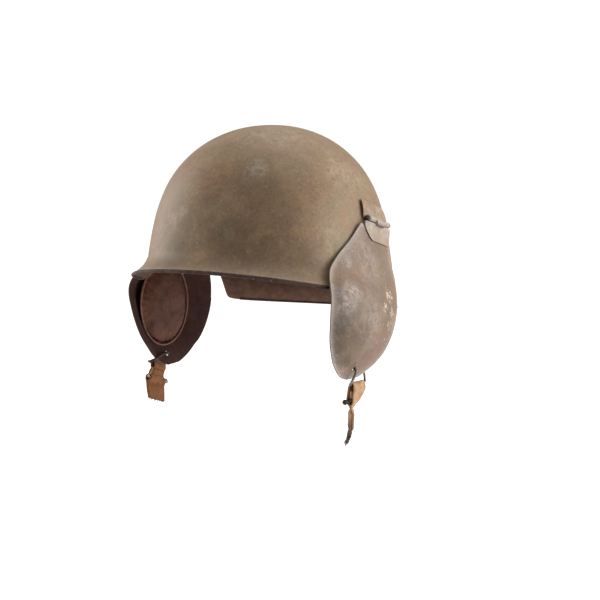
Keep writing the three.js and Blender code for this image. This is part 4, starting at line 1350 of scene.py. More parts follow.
class HELMET_OT_hinges(bpy.types.Operator):
    """Builds both hinges: two leaves with curled knuckles and a pin each"""
    bl_idname = "helmet.hinges"
    bl_label = "Flap hinges"

    def execute(self, context):
        upper = upper_leaf("upper_leaf_left")
        lower = lower_leaf("lower_leaf_left")
        pin = hinge_pin("pin_left")
        rim = [
            hinge_point(x, along, down)
            for x in (102, 107)
            for along in (-HINGE_HALF, -KNUCKLE_SPLIT, KNUCKLE_SPLIT, HINGE_HALF)
            for down in (-2, 0, 2)
        ]
        head = [hinge_point(HINGE_X, HINGE_HALF + 3, 0)]
        for piece, border, worn_and_highlit in (
            (upper, rim, KNUCKLES_WORN_AND_HIGHLIT), (lower, rim, KNUCKLES_WORN_AND_HIGHLIT), (pin, head, HEAD_HIGHLIGHT),
        ):
            mark_edges(piece, border, fade=1.6)
            # pale places: worn knuckles with a painted highlight, and a painted highlight on the pin's rear
            # head
            bare = [(*hinge_point(HINGE_X, along, 0), 6, 1.0) for along in worn_and_highlit]
            mark_zones(piece, "bare", bare, 0.1)
            mark_zone_table(piece, HINGE_WEAR_AND_SHADE)
            soften(piece, 32)
        for left, stem, body, node, finish, slot in (
            (upper, "upper_leaf", "helmet", "hinge_leaf_upper", "shell_paint", "shell_paint"),
            (lower, "lower_leaf", "flap", "hinge_leaf_lower", "leaf_paint", "worn_steel"),
            (pin, "pin", "helmet", "hinge_pin", "dark_steel", "dark_steel"),
        ):
            right = mirrored_copy(left, stem + "_right")
            for piece, side in ((left, "left"), (right, "right")):
                on = f"{body}_{side}" if body == "flap" else body
                dress(piece, on, f"{node}_{side}", finish, slot)
        return {"FINISHED"}


# Ear flaps
FLAP_WEAR_AND_SHADE = {
    "scuff": (
        (116, -60, -10, 17, 1.0), (117, -50, -1, 15, 1.0), (106, -40, 23, 9, 0.9), (112, -58, -30, 12, 0.5),
        (118, -20, -30, 30, 0.5), (110, -8, 20, 26, 0.5), (112, 30, -40, 20, 0.6), (104, -43, -74, 10, 0.5),
    ),
    # darkened spots along the front of the cup, behind its lip: painted shade
    "stain": (
        (112, -63, -34, 17, 0.7), (108, -60, -50, 16, 0.6), (113, -67, -6, 12, 0.5),
        (112, -62, 10, 12, 0.5),
        (117, -44, -42, 18, 0.45), (106, -44, -66, 14, 0.6),
    ),
    "rust": (
        (110, -12, -66, 17, 1.0), (103, -43, -76, 12, 0.9), (112, 0, 34, 14, 0.5), (121, -6, -46, 18, 0.6),
        (112, -36, 12, 14, 0.5), (116, 30, -10, 20, 0.6), (116, 12, -58, 17, 1.0), (120, 14, -40, 14, 0.7),
    ),
    "chip": (
        (123, 0, -22, 13, 0.9), (119, 13, -12, 15, 1.0), (120, 17, -27, 15, 1.0), (121, 12, -38, 13, 0.9),
        (118, 8, -50, 11, 0.6), (110, 4, -66, 10, 0.5),
    ),
}
# a tear above the strap hole of the wearer's left flap: its two ends, its width and depth, how far its tool
# stands out of the face, its width along it, and how the painted shade in it spreads
FLAP_TEAR = ((106.6, -31.6, -71.3), (109.3, -28.2, -67.4), 1.3, 0.95)
TEAR_TOOL_OUT = 0.6
TEAR_WIDTHS = ((0, 0.2), (0.2, 1), (0.7, 0.9), (1, 0.15))
TEAR_SHADE_RADIUS = 2.4
TEAR_SHADE_PLACES = (0.1, 0.35, 0.6, 0.85)
# the wearer's right flap gets the left one's wear and painted shade, but less
RIGHT_WEAR_AND_SHADE_SHARE = 0.85

# the flap's grid: steps across it and for each row of its table; where its dents fade in, in rows from the
# top, in rows from the bottom and in columns from the rear; how much finer its dents are than the shell's
FLAP_ACROSS = 76
FLAP_DOWN = 5
FLAP_CALM_TOP, FLAP_CALM_BOTTOM, FLAP_CALM_REAR = (8, 16), (0, 6), (0, 6)
FLAP_DENT_FINENESS = 1.3
# how far the drill of the strap hole reaches to both sides of the flap
DRILL_REACH = 15


def tear_tool():
    """A thin wedge that opens the tear in the flap's outer face."""
    start, end, width, depth = FLAP_TEAR
    start, end = Vector(start), Vector(end)
    side = (end - start).normalized().cross(Vector((1, 0, 0))).normalized() * width / 2
    inner, outer = Vector((-depth, 0, 0)), Vector((TEAR_TOOL_OUT, 0, 0))
    sections = []
    for place, share in TEAR_WIDTHS:
        p = start.lerp(end, place)
        sections.append([p + inner, p + side * share + outer, p - side * share + outer])
    return swept_piece("tear", sections, False)


def hole_drill():
    """The round tool that opens the strap hole of the wearer's left flap."""
    y, z = FLAP_HOLE
    x = flap_side(y, z)
    return swept_piece("drill", [
        [Vector((x + reach, y + b, z + c)) for b, c in circle(FLAP_HOLE_RADIUS, 40)]
        for reach in (-DRILL_REACH, DRILL_REACH)
    ], False)


class HELMET_OT_flaps(bpy.types.Operator):
    """Builds both cupped steel ear flaps with their strap holes"""
    bl_idname = "helmet.flaps"
    bl_label = "Ear flaps"

    def execute(self, context):
        places = [k / FLAP_ACROSS for k in range(FLAP_ACROSS + 1)]
        last = FLAP_DOWN * FLAP_ROWS[-1]
        rows = [[flap_point(r / FLAP_DOWN, across) for across in places] for r in range(last + 1)]
        depth = sizes().flap_dents / MM

        def dent(p, r, c):
            calm = smooth_step(r, *FLAP_CALM_TOP) * smooth_step(last - r, *FLAP_CALM_BOTTOM)
            calm *= smooth_step(FLAP_ACROSS - c, *FLAP_CALM_REAR)
            return unevenness(p * FLAP_DENT_FINENESS, depth) * calm

        left = sheet_piece("flap_plate_left", rows, STEEL_WALL, dent=dent)
        cut_or_join(left, [(hole_drill(), "DIFFERENCE")])
        right = mirrored_copy(left, "flap_plate_right")
        cut_or_join(left, [(tear_tool(), "DIFFERENCE")])
        start, end = Vector(FLAP_TEAR[0]), Vector(FLAP_TEAR[1])
        # painted shade along the tear, laid with the darkened spots
        tear_shade = [
            (x - 1, y, z, TEAR_SHADE_RADIUS, 1.0)
            for x, y, z in (start.lerp(end, place) for place in TEAR_SHADE_PLACES)
        ]
        mark_zone_table(left, FLAP_WEAR_AND_SHADE | {"stain": (*FLAP_WEAR_AND_SHADE["stain"], *tear_shade)})
        mark_zone_table(right, {
            name: [(-x, y, z, r, RIGHT_WEAR_AND_SHADE_SHARE * amount) for x, y, z, r, amount in spots]
            for name, spots in FLAP_WEAR_AND_SHADE.items()
        })
        for piece, side in ((left, "left"), (right, "right")):
            soften(piece, 40)
            dress(piece, f"flap_{side}", f"ear_flap_{side}", "flap_paint")
        return {"FINISHED"}


# Ear pads

# the slack cushion before it swells: its rings of points from the middle out, the points in each ring,
# its size as a share of the pad's, how far its face and back stand in from the pad's own, and how much
# more they do so at the rim, from where on
PAD_SHARES = (0.12, 0.28, 0.44, 0.6, 0.74, 0.86, 0.95, 1)
PAD_SPOKES = 72
PAD_TRIM = 0.965
FACE_INSET, BACK_INSET, RIM_INSET = 1.2, 0.8, 1.5
RIM_START = 0.85

# the cloth run: the size of its mesh in metres, its frames, and where its points begin to be held and are
# held fast, as shares of the pad's radius
CLOTH_MESH = 0.0028
CLOTH_FRAMES = 20
HELD_FROM, HELD_TO = 0.6, 0.93

# the hide: gathers round the rim, where they start and end, their depth, the depth of its ripples, the fine
# ripples' share, and how far the face and the back may stand out
GATHERS = 34
GATHERS_FROM, GATHERS_TO = 0.55, 0.95
GATHER_DEPTH, RIPPLE_DEPTH = 0.28, 0.35
FINE_RIPPLES = 0.4
FACE_OUT, BACK_OUT = 1.6, 0.4

# the piping: how far it lies in from the pad's rim and face, and its unevenness
PIPING_IN = 0.4
PIPING_SEAT = 1.1
PIPING_WAVE = 0.12


def pad_start():
    """The pad's slack cushion before it swells: rings of face and back points."""
    points = []
    middle_y, middle_z = PAD_MIDDLE

    def add_ring(share, x_of):
        for a, b in circle(PAD_TRIM * share, PAD_SPOKES):
            y, z = middle_y + PAD_HALF_LENGTH * a, middle_z + PAD_HALF_HEIGHT * b
            points.append(Vector((x_of(y, z), y, z)))

    for share in PAD_SHARES:
        rim = RIM_INSET * smooth_step(share, RIM_START, 1)
        add_ring(share, lambda y, z: PAD_FACE_X + FACE_INSET + rim)
    for share in reversed(PAD_SHARES):
        rim = RIM_INSET * smooth_step(share, RIM_START, 1)
        add_ring(share, lambda y, z: min(PAD_FACE_X + PAD_DEPTH, cup_side(y, z)) - BACK_INSET - rim)
    faces = []
    last = len(points) - PAD_SPOKES
    for start in range(0, last, PAD_SPOKES):
        faces += ring_faces(start, start + PAD_SPOKES, PAD_SPOKES)
    return points, faces + end_faces(0, last, PAD_SPOKES)


def cup_side(y, z):
    """How far out the pad's back may reach in the flap's cup."""
    return flap_side(y, z) - STEEL_WALL - PAD_BACK_GAP


def pad_share(p):
    """How far out from the pad's middle a point in mm lies, 1 at the rim."""
    return math.hypot((p.y - PAD_MIDDLE[0]) / PAD_HALF_LENGTH, (p.z - PAD_MIDDLE[1]) / PAD_HALF_HEIGHT)


def swell(piece, most):
    """Blows the closed piece up as cloth; no point moves further than most, and the rim keeps its place."""
    scene = bpy.context.scene
    remesh = piece.modifiers.new("even", "REMESH")
    remesh.mode = "VOXEL"
    remesh.voxel_size = CLOTH_MESH
    freeze(piece)
    rest = [v.co.copy() for v in piece.data.vertices]
    cloth = piece.modifiers.new("swell", "CLOTH")
    cloth.settings.quality = 6
    cloth.settings.use_pressure = True
    cloth.settings.uniform_pressure_force = 4
    cloth.settings.effector_weights.gravity = 0
    cloth.settings.tension_stiffness = 12
    cloth.settings.bending_stiffness = 0.8
    cloth.point_cache.frame_start = 1
    cloth.point_cache.frame_end = CLOTH_FRAMES
    for step in range(1, CLOTH_FRAMES + 1):
        scene.frame_set(step)
    freeze(piece)
    scene.frame_set(1)
    for v, start in zip(piece.data.vertices, rest):
        move = v.co - start
        if move.length > most:
            move *= most / move.length
        free = 1 - smooth_step(pad_share(start / MM), HELD_FROM, HELD_TO)
        v.co = start + Vector((move.x, move.y * free, move.z * free))
    fine = piece.modifiers.new("fine", "SUBSURF")
    fine.levels = fine.render_levels = 1
    freeze(piece)


def crease_pad(piece):
    """Creases the hide towards the rim and keeps it inside the flap's cup."""
    middle_y, middle_z = PAD_MIDDLE
    limits = {}
    for v in piece.data.vertices:
        p = v.co / MM
        y, z = p.y - middle_y, p.z - middle_z
        share = pad_share(p)
        wander = 3 * noise.noise(p / 9)
        gather = math.sin(math.atan2(z, y) * GATHERS + wander) * smooth_step(share, GATHERS_FROM, GATHERS_TO)
        ripple = noise.noise(p / 13) + FINE_RIPPLES * noise.noise(p / 5)
        side = -1 if p.x < PAD_FACE_X + PAD_DEPTH / 2 else 1
        p.x += side * (GATHER_DEPTH * gather + RIPPLE_DEPTH * ripple)
        if share > 1:
            p.y, p.z = middle_y + y / share, middle_z + z / share
        key = (round(p.y / 2), round(p.z / 2))
        if key not in limits:
            limits[key] = cup_side(key[0] * 2, key[1] * 2)
        p.x = clamp(p.x, PAD_FACE_X - FACE_OUT, min(limits[key], PAD_FACE_X + PAD_DEPTH + BACK_OUT))
        v.co = p * MM


def pad_piping(name):
    """The rolled leather edge round the pad's face."""
    radius = sizes().piping / MM
    middle_y, middle_z = PAD_MIDDLE
    sections = []
    for a, b in circle(1, 120):
        out = Vector((0, a / PAD_HALF_LENGTH, b / PAD_HALF_HEIGHT)).normalized()
        y = middle_y + (PAD_HALF_LENGTH - radius - PIPING_IN) * a
        z = middle_z + (PAD_HALF_HEIGHT - radius - PIPING_IN) * b
        wave = 1 + PIPING_WAVE * noise.noise(Vector((y, z, 0)) / 3)
        centre = Vector((PAD_FACE_X + PIPING_SEAT, y, z))
        sections.append([centre + out * p + Vector((q, 0, 0)) for p, q in circle(radius * wave, 10)])
    return swept_piece(name, sections, True)


class HELMET_OT_pads(bpy.types.Operator):
    """Builds the stuffed leather pad and its piping inside each flap"""
    bl_idname = "helmet.pads"
    bl_label = "Ear pads"

    def execute(self, context):
        points, faces = pad_start()
        left = new_piece("ear_pad_cushion_left", points, faces)
        swell(left, sizes().pad_swell)
        crease_pad(left)
        piping = pad_piping("ear_pad_piping_left")
        rim = [v.co / MM for v in piping.data.vertices]
        mark_edges(left, rim, fade=2.5)
        mark_edges(piping, rim, fade=4)
        face_outward(left.data)
        pads = {"left": left, "right": mirrored_copy(left, "ear_pad_cushion_right")}
        pipings = {"left": piping, "right": mirrored_copy(piping, "ear_pad_piping_right")}
        for side, pad in pads.items():
            dress(pad, f"flap_{side}", f"ear_pad_{side}", "leather")
            dress(pipings[side], f"flap_{side}", None, "piping", "leather")
        return {"FINISHED"}


# Strap rings

# a ring's line: steps from knot to knot, the least length between two knots, and the points of its wire
KNOT_STEPS = 24
SHORTEST_STEP = 1e-3
RING_POINTS = 150


def closed_curve(knots, count):
    """Evenly spaced points of a smooth closed line through the knots."""
    knots = [Vector(k) for k in knots]
    total, fine = len(knots), []
    for i in range(total):
        p0, p1, p2, p3 = four = [knots[(i + k - 1) % total] for k in range(4)]
        times = [0.0]
        for a, b in zip(four, four[1:]):
            times.append(times[-1] + max((b - a).length, SHORTEST_STEP) ** 0.5)
        t0, t1, t2, t3 = times
        for s in range(KNOT_STEPS):
            t = lerp(t1, t2, s / KNOT_STEPS)
            a1 = p0.lerp(p1, (t - t0) / (t1 - t0))
            a2 = p1.lerp(p2, (t - t1) / (t2 - t1))
            a3 = p2.lerp(p3, (t - t2) / (t3 - t2))
            b1 = a1.lerp(a2, (t - t0) / (t2 - t0))
            b2 = a2.lerp(a3, (t - t1) / (t3 - t1))
            fine.append(b1.lerp(b2, (t - t1) / (t2 - t1)))
    lengths = [0.0]
    for a, b in zip(fine, fine[1:] + fine[:1]):
        lengths.append(lengths[-1] + (b - a).length)
    points, i = [], 0
    for k in range(count):
        want = lengths[-1] * k / count
        while lengths[i + 1] < want:
            i += 1
        share = (want - lengths[i]) / (lengths[i + 1] - lengths[i])
        points.append(fine[i].lerp(fine[(i + 1) % len(fine)], share))
    return points


def tube_sections(line, radius, sides, closed):
    """Round sections along a line, turned as little as possible."""
    count = len(line)
    guide = Vector((1, 0, 0))
    sections = []
    for i, p in enumerate(line):
        ahead = line[(i + 1) % count] if closed or i < count - 1 else p
        behind = line[i - 1] if closed or i else p
        way = (ahead - behind).normalized()
        guide = (guide - way * guide.dot(way)).normalized()
        side = way.cross(guide)
        wide = radius(i / max(1, count - 1)) if callable(radius) else radius
        sections.append([p + guide * a + side * b for a, b in circle(wide, sides)])
    return sections


class HELMET_OT_rings(bpy.types.Operator):
    """Bends the wire ring that hangs in each flap's hole"""
    bl_idname = "helmet.rings"
    bl_label = "Strap rings"

    def execute(self, context):
        # the ring on the wearer's right takes the dark bar paint: painted shade on the same wire as the left
        # ring
        for side, knots, finish in (("left", LEFT_RING, "wire"), ("right", RIGHT_RING, "bar_paint")):
            sections = tube_sections(closed_curve(knots, RING_POINTS), WIRE_RADIUS, 16, True)
            ring = swept_piece(f"wire_ring_{side}", sections, True, mirror=side == "right")
            dress(ring, f"flap_{side}", f"strap_ring_{side}", finish, "wire")
        return {"FINISHED"}


# Chin-strap stubs

# the webbing: distance between its sections, steps across it, its selvedges' share of its thickness,
# and the depth of its waves
WEB_STEP = 0.6
WEB_ACROSS = 28
SELVEDGE = 0.45
WEB_WAVER = 0.22
# from where to where the layers merge, beside the place that closes the strap, and from where to where the
# front layer fills out once it hangs alone; the gap left in a closed strap; the step that gives its slope;
# and the steps over the ring
MERGE_FROM, MERGE_TO = -1.5, 1
ALONE_FROM, ALONE_TO = -0.5, 1.5
CLOSED_GAP = 0.02
SLOPE_STEP = 0.4
RING_STEPS = 14

# the crossbar: the length of its domed end, and how far its neck runs into the knob
BAR_DOME = 1.2
BAR_NECK = 0.9

# the tuck: where it starts down the strap, its share of the strap's width, its steps down and across, half
# its thickness at the start, and half its full thickness and its lean on the wearer's left
TUCK_START = 4.6
TUCK_WIDTH = 0.97
TUCK_DOWN, TUCK_ACROSS = 14, 12
TUCK_THIN = 0.9
LEFT_TUCK_THICK = 1.35
LEFT_TUCK_LEAN = (-0.2, 0.8)
# on the right it fills this share of the hollow that the strap has at this place
RIGHT_TUCK_SHARE, RIGHT_TUCK_AT = 0.9, 8.6

THREAD_SIDES = 5
THREAD_STEPS = 6
THREAD_TAPER = 0.6
THREAD_CURL = 0.25
THREAD_DIRT = 0.25
# the torn end's threads, in three kinds: where they start down the strap, their lean outward, their pull to
# its middle, their drift along Y and their length
TORN_KINDS = (
    ((39.5, 48), (-0.5, 0.5), 0, -0.3, (1.5, 3.5)),
    ((46, 49.6), (-0.5, -0.9), 0.12, 0, (3.5, 6.5)),
    ((46, 49.6), (-0.15, 0.15), 0.12, 0, (1.5, 3)),
)
CUT_THREADS = 26
CUT_THREAD_LENGTH = (0.8, 2.4)

# a stitch: places along it and its height over the webbing; the share of the strap that its row takes to
# each side, the distance from one stitch to the next, and how much thicker its thread is
STITCH = ((0, 0.02), (0.5, 0.24), (1.6, 0.24), (2.1, 0.02))
STITCH_REACH = 0.43
STITCH_PITCH = 2.9
STITCH_THICKNESS = 1.3
def strap_read(strap, down, column):
    return straight_read(strap["sections"], down, column)


def strap_place(strap, thick, wide, down):
    """A point across the strap's thickness, along its width and down it, as it hangs."""
    share, sway = strap_read(strap, down, 2), strap_read(strap, down, 3)
    turn = math.radians(strap["turn"]) * smooth_step(down, strap["turn_from"], strap["turn_to"])
    width = wide * share
    x0, y0, z0 = strap["at"]
    x = x0 + thick * math.cos(turn) - width * math.sin(turn)
    y = y0 + sway + thick * math.sin(turn) + width * math.cos(turn)
    return Vector((x, y, z0 - down + strap["tilt"] * width))


def strap_path(strap):
    """The webbing's middle line: up the back, over the ring and down the front.

    Each place is thickness across, down, its own thickness, its normal (across, down) and length so far.
    """
    layer = sizes().webbing / MM
    back_end, front_end = strap["layers"]

    def straight(side, down):
        half = strap_read(strap, down, 1)
        sewn = smooth_step(down, strap["closed"] + MERGE_FROM, strap["closed"] + MERGE_TO)
        alone = smooth_step(down, back_end + ALONE_FROM, back_end + ALONE_TO)
        thin = lerp(min(layer, half), half - CLOSED_GAP, sewn) + half * alone
        rise = strap_read(strap, down + SLOPE_STEP, 1) - strap_read(strap, down - SLOPE_STEP, 1)
        normal = Vector((side, -rise / (2 * SLOPE_STEP))).normalized()
        return (side * (half - thin / 2), down, thin, normal)

    places = [straight(-1, back_end - WEB_STEP * k) for k in range(int(back_end / WEB_STEP))]
    ring = STRAP_TOP_RADIUS - layer / 2
    for k in range(RING_STEPS + 1):
        turn = math.pi * (1 - k / RING_STEPS)
        normal = Vector((math.cos(turn), -math.sin(turn)))
        places.append((ring * normal.x, ring * normal.y, layer, normal))
    places += [straight(1, WEB_STEP * k) for k in range(1, int(front_end / WEB_STEP) + 1)]
    run, path = 0.0, []
    for i, place in enumerate(places):
        if i:
            run += math.hypot(place[0] - places[i - 1][0], place[1] - places[i - 1][1])
        path.append((*place, run))
    return path


def strap_webbing(name, strap, mirror):
    """The folded webbing as one band of even thickness with round selvedges."""
    half_width = strap["span"] / 2
    sections, along, across = [], [], []
    for thick, down, thin, normal, run in strap_path(strap):
        top, bottom = [], []
        sewn = down > strap["closed"]
        for k in range(WEB_ACROSS + 1):
            wide = lerp(-half_width, half_width, k / WEB_ACROSS)
            ripple = WEB_WAVER * noise.noise(Vector((wide / 6, down / 7, 3 if thick > 0 or sewn else 9)))
            if sewn and normal.x < 0:
                ripple = -ripple
            height = thin / 2 * (1 if 0 < k < WEB_ACROSS else SELVEDGE)
            for line, side in ((top, 1), (bottom, -1)):
                t = thick + normal.x * (side * height + ripple)
                d = down + normal.y * (side * height + ripple)
                line.append((strap_place(strap, t, wide, d), wide * strap_read(strap, down, 2)))
        loop = top + bottom[::-1]
        sections.append([p for p, _ in loop])
        along += [run] * len(loop)
        across += [w for _, w in loop]
    webbing = swept_piece(name, sections, False, mirror)
    store(webbing, "along", along)
    store(webbing, "across", across)
    return webbing


def strap_crossbar(name, strap, mirror):
    """The round bar in the strap's lower loop: one end domed, the other a knob."""
    low, high = strap["bar"]
    down = strap["bar_down"]
    middle = strap_place(strap, 0, 0, down)
    side = strap_place(strap, 1, 0, down) - middle
    wide = strap_place(strap, 0, 1 / strap_read(strap, down, 2), down) - middle
    profile = []
    for k in range(8):
        turn = math.pi / 2 * k / 7
        profile.append((max(TIP_RADIUS, CROSSBAR_RADIUS * math.sin(turn)), BAR_DOME * (1 - math.cos(turn))))
    profile.append((CROSSBAR_RADIUS, high - low - 2 * KNOB_RADIUS + BAR_NECK))
    for k in range(2, 15):
        turn = math.pi * k / 14
        knob = max(TIP_RADIUS, KNOB_RADIUS * math.sin(turn))
        profile.append((knob, high - low - KNOB_RADIUS * (1 + math.cos(turn))))

    def place(x, along, drop):
        reach = low + along if strap["knob"] > 0 else high - along
        p = middle + side * x + wide * reach - Vector((0, 0, drop))
        return Vector((p.x * (-1 if mirror else 1), p.y, p.z))

    return turned_piece(name, profile, place, sides=28)


def strap_tuck(name, strap, mirror):
    """The webbing's end tucked into its upper loop, down to the crossbar."""
    sections, along, across = [], [], []
    half_width = strap["span"] / 2 * TUCK_WIDTH
    thickest, leans = LEFT_TUCK_THICK, LEFT_TUCK_LEAN
    if mirror:
        thickest = RIGHT_TUCK_SHARE * (strap_read(strap, RIGHT_TUCK_AT, 1) - sizes().webbing / MM)
        leans = (0, 0)
    for k in range(TUCK_DOWN + 1):
        share = k / TUCK_DOWN
        down = lerp(TUCK_START, strap["bar_down"] - CROSSBAR_RADIUS - 0.1, share)
        rounding = math.sin(math.pi / 2 * min(1, (k + 1) / 3))
        half = lerp(TUCK_THIN, thickest, smooth_step(share, 0, 0.5)) * rounding
        lean = lerp(*leans, share)
        loop = []
        for side in (1, -1):
            line = [
                (lean + side * half * (1 if 0 < j < TUCK_ACROSS else 0.5),
                 lerp(-half_width, half_width, j / TUCK_ACROSS))
                for j in range(TUCK_ACROSS + 1)
            ]
            loop += line if side > 0 else line[::-1]
        sections.append([strap_place(strap, t, w, down) for t, w in loop])
        along += [down] * len(loop)
        across += [w for _, w in loop]
    tuck = swept_piece(name, sections, False, mirror)
    store(tuck, "along", along)
    store(tuck, "across", across)
    return tuck


def thread_piece(name, lines, radius, mirror):
    """Many loose threads as one piece: each line a thin tapered tube."""
    points, faces = [], []
    for line in lines:
        sections = tube_sections(line, lambda share: radius * (1 - THREAD_TAPER * share), THREAD_SIDES, False)
        starts = [len(points) + s * THREAD_SIDES for s in range(len(sections))]
        points += [p for section in sections for p in section]
        for start, following in zip(starts, starts[1:]):
            faces += ring_faces(start, following, THREAD_SIDES)
        faces += end_faces(starts[0], starts[-1], THREAD_SIDES)
    threads = new_piece(name, points, faces, mirror)
    vertices = threads.data.vertices
    store(threads, "along", [v.co.z / MM for v in vertices])
    store(threads, "across", [v.co.y / MM for v in vertices])
    store(threads, "stain", [THREAD_DIRT] * len(vertices))
    return threads


def loose_thread(rng, start, way, length):
    """One thread that leaves its place and curls as it falls."""
    line, p, heading = [start], start.copy(), way.normalized()
    for _ in range(THREAD_STEPS):
        stray = Vector((rng.uniform(-1, 1), rng.uniform(-1, 1), rng.uniform(-0.8, 0.3)))
        heading = (heading + stray * THREAD_CURL).normalized()
        p = p + heading * (length / THREAD_STEPS)
        line.append(p.copy())
    return line


def torn_threads(strap, count):
    """Threads over the torn part, drawn together into a long tip and a short one."""
    rng = random.Random(41)
    lines = []
    for k in range(count):
        starts, lean, pull, drift, lengths = TORN_KINDS[k % len(TORN_KINDS)]
        down = rng.uniform(*starts)
        thick = rng.uniform(-1, 1) * strap_read(strap, down, 1)
        wide = rng.uniform(-0.5, 0.5) * strap["span"]
        start = strap_place(strap, thick, wide, down)
        out = strap_place(strap, thick + 1, wide, down) - start
        middle = strap_place(strap, thick, 0, down) - start
        way = Vector((0, drift, -1)) + out * rng.uniform(*lean) + middle * pull
        lines.append(loose_thread(rng, start, way, rng.uniform(*lengths)))
    return lines


def cut_threads(strap, count):
    """Short threads along a cut end."""
    rng = random.Random(12)
    down = strap["layers"][1] - 0.3
    lines = []
    for _ in range(count):
        wide = rng.uniform(-0.5, 0.5) * strap["span"]
        start = strap_place(strap, rng.uniform(-1, 1), wide, down)
        way = Vector((0, rng.uniform(-0.3, 0.3), -1))
        lines.append(loose_thread(rng, start, way, rng.uniform(*CUT_THREAD_LENGTH)))
    return lines


def stitch_rows(strap):
    """Short stitches across the strap's width on both faces."""
    lines = []
    reach = STITCH_REACH * strap["span"]
    for down in strap["seams"]:
        half = strap_read(strap, down, 1)
        for side in (-1, 1):
            wide = -reach
            while wide < reach:
                lines.append([strap_place(strap, side * (half + lift), wide + w, down) for w, lift in STITCH])
                wide += STITCH_PITCH
    return lines


class HELMET_OT_straps(bpy.types.Operator):
    """Builds both stubs of the chin strap with crossbars, stitching and loose threads"""
    bl_idname = "helmet.straps"
    bl_label = "Chin-strap stubs"

    def execute(self, context):
        radius = sizes().thread / MM
        left_threads = torn_threads(LEFT_STRAP, sizes().torn_threads)
        right_threads = cut_threads(RIGHT_STRAP, CUT_THREADS)
        for side, strap, cloth, yarn, metal, bar_slot, threads in (
            ("left", LEFT_STRAP, "torn_webbing", "frayed_yarn", "bar_paint", "dark_steel", left_threads),
            ("right", RIGHT_STRAP, "webbing", "webbing", "worn_steel", "worn_steel", right_threads),
        ):
            mirror = side == "right"
            body = f"flap_{side}"
            x, y, z = strap["at"]
            x = -x if mirror else x
            webbing = strap_webbing(f"strap_webbing_{side}", strap, mirror)
            soil = [(x, y + back, z + up, size, amount) for back, up, size, amount in strap["soil"]]
            mark_zones(webbing, "stain", soil)
            dress(webbing, body, f"strap_{side}", cloth)
            crossbar = strap_crossbar(f"strap_crossbar_{side}", strap, mirror)
            dress(crossbar, body, f"strap_bar_{side}", metal, bar_slot)
            tuck = strap_tuck(f"strap_tuck_{side}", strap, mirror)
            dress(tuck, body, None, "torn_webbing", cloth)
            fray = thread_piece(f"strap_fray_{side}", threads, radius, mirror)
            dress(fray, body, None, yarn, cloth)
            seams = stitch_rows(strap)
            stitches = thread_piece(f"strap_stitches_{side}", seams, radius * STITCH_THICKNESS, mirror)
            dress(stitches, body, None, cloth)
        return {"FINISHED"}


# Stage

CAMERA_BEARING = math.radians(33.162)
CAMERA_RISE = math.radians(4.204)
CAMERA_DISTANCE = 1.5616
CAMERA_LENS = 99.04
CAMERA_SHIFT = (0.0461, -0.0336)
# the floor's height and its reach to each side (m), and its own light where the camera sees it
FLOOR_DROP = -0.34
FLOOR_REACH = 9
FLOOR_GLOW = 0.6
# the surround's strength as light on the helmet, and as the white that the camera sees
STUDIO_LIGHT = 0.64
STUDIO_WHITE = 1.05
# name, place (m), size (m), power (W)
LAMPS = (
    ("left_window", (-1.6, -0.3, 0.5), 1.3, 25),
    ("right_window", (1.5, 0.9, 0.4), 1.3, 30),
    ("top_window", (0.1, 0.5, 1.6), 1.4, 13),
)


def studio_world():
    """A pale even studio: soft light for the helmet, white where the camera looks past it."""
    world = bpy.data.worlds.new("studio")
    world.use_nodes = True
    world.node_tree.nodes.clear()
    sketch = Sketch(world.node_tree)
    soft, white = (
        sketch.add("ShaderNodeBackground", {"Color": (1, 1, 1, 1), "Strength": strength})
        for strength in (STUDIO_LIGHT, STUDIO_WHITE)
    )
    ray = sketch.add("ShaderNodeLightPath")
    both = sketch.add("ShaderNodeMixShader", {
        0: ray.outputs["Is Camera Ray"], 1: soft.outputs[0], 2: white.outputs[0],
    })
    end = sketch.add("ShaderNodeOutputWorld")
    world.node_tree.links.new(both.outputs[0], end.inputs["Surface"])
    bpy.context.scene.world = world


def floor_finish(pale):
    """Pale floor that runs into the pale surround where the camera sees it, and is clear from below."""
    finish, sketch, shader = new_finish("studio_floor")
    pale_tone = sketch.mix(sketch.cloud("floor"), shaded(pale, 0.99), shaded(pale, 1))
    sketch.feed(shader.inputs["Base Color"], pale_tone)
    shader.inputs["Roughness"].default_value = 0.8
    shader.inputs["Emission Color"].default_value = (1, 1, 1, 1)
    ray = sketch.add("ShaderNodeLightPath")
    glow = sketch.times(ray.outputs["Is Camera Ray"], FLOOR_GLOW)
    sketch.feed(shader.inputs["Emission Strength"], glow)
    under = sketch.add("ShaderNodeNewGeometry").outputs["Backfacing"]
    clear = sketch.add("ShaderNodeBsdfTransparent")
    seen = sketch.add("ShaderNodeMixShader", {0: under, 1: shader.outputs[0], 2: clear.outputs[0]})
    end = next(node for node in finish.node_tree.nodes if node.type == "OUTPUT_MATERIAL")
    sketch.feed(end.inputs["Surface"], seen.outputs[0])
    return finish


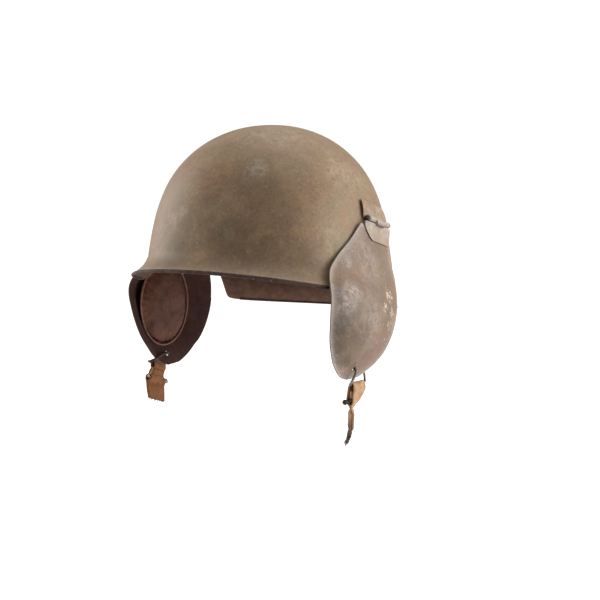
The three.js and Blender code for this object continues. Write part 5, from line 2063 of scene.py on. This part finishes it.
class HELMET_OT_stage(bpy.types.Operator):
    """Sets up the pale floor, the soft lamps and the camera at the photograph's angle"""
    bl_idname = "helmet.stage"
    bl_label = "Studio"

    def execute(self, context):
        scene = context.scene
        reach = FLOOR_REACH / MM
        corners = [
            (x * reach, y * reach, FLOOR_DROP / MM) for x, y in ((-1, -1), (1, -1), (1, 1), (-1, 1))
        ]
        floor = new_piece("studio_floor", corners, [(0, 1, 2, 3)])
        floor.data.materials.append(floor_finish(tuple(colours().floor)))
        studio_world()
        for name, place, width, power in LAMPS:
            lamp = bpy.data.lights.new(name, "AREA")
            lamp.size = width
            lamp.energy = power
            holder = bpy.data.objects.new(name, lamp)
            holder.location = place
            holder.rotation_euler = (-Vector(place)).to_track_quat("-Z", "Y").to_euler()
            scene.collection.objects.link(holder)
        data = bpy.data.cameras.new("photo_view")
        data.lens = CAMERA_LENS
        data.shift_x, data.shift_y = CAMERA_SHIFT
        camera = bpy.data.objects.new("photo_view", data)
        flat = math.cos(CAMERA_RISE)
        camera.location = CAMERA_DISTANCE * Vector(
            (math.sin(CAMERA_BEARING) * flat, -math.cos(CAMERA_BEARING) * flat, math.sin(CAMERA_RISE))
        )
        camera.rotation_euler = (-camera.location).to_track_quat("-Z", "Y").to_euler()
        scene.collection.objects.link(camera)
        scene.camera = camera
        scene.view_settings.view_transform = "Standard"
        return {"FINISHED"}


# Panel and start

OPERATORS = (
    HELMET_OT_shell, HELMET_OT_hinges, HELMET_OT_flaps, HELMET_OT_pads, HELMET_OT_rings,
    HELMET_OT_straps, HELMET_OT_stage,
)


class HELMET_PT_panel(bpy.types.Panel):
    """Lists the helmet's sizes, colours and steps"""
    bl_idname = "HELMET_PT_panel"
    bl_label = "Helmet"
    bl_space_type = "VIEW_3D"
    bl_region_type = "UI"
    bl_category = "Helmet"

    def draw(self, context):
        layout = self.layout
        for group in (context.scene.helmet_sizes, context.scene.helmet_colours):
            box = layout.box()
            for name in type(group).__annotations__:
                box.prop(group, name)
        for step in OPERATORS:
            layout.operator(step.bl_idname)


CLASSES = (HelmetSizes, HelmetColours, *OPERATORS, HELMET_PT_panel)


def register():
    for one in CLASSES:
        bpy.utils.register_class(one)
    bpy.types.Scene.helmet_sizes = PointerProperty(type=HelmetSizes)
    bpy.types.Scene.helmet_colours = PointerProperty(type=HelmetColours)


def unregister():
    del bpy.types.Scene.helmet_colours
    del bpy.types.Scene.helmet_sizes
    for one in reversed(CLASSES):
        bpy.utils.unregister_class(one)


def main():
    register()
    make_finishes()
    for step in OPERATORS:
        group, name = step.bl_idname.split(".")
        getattr(getattr(bpy.ops, group), name)()


if __name__ == "__main__":
    main()
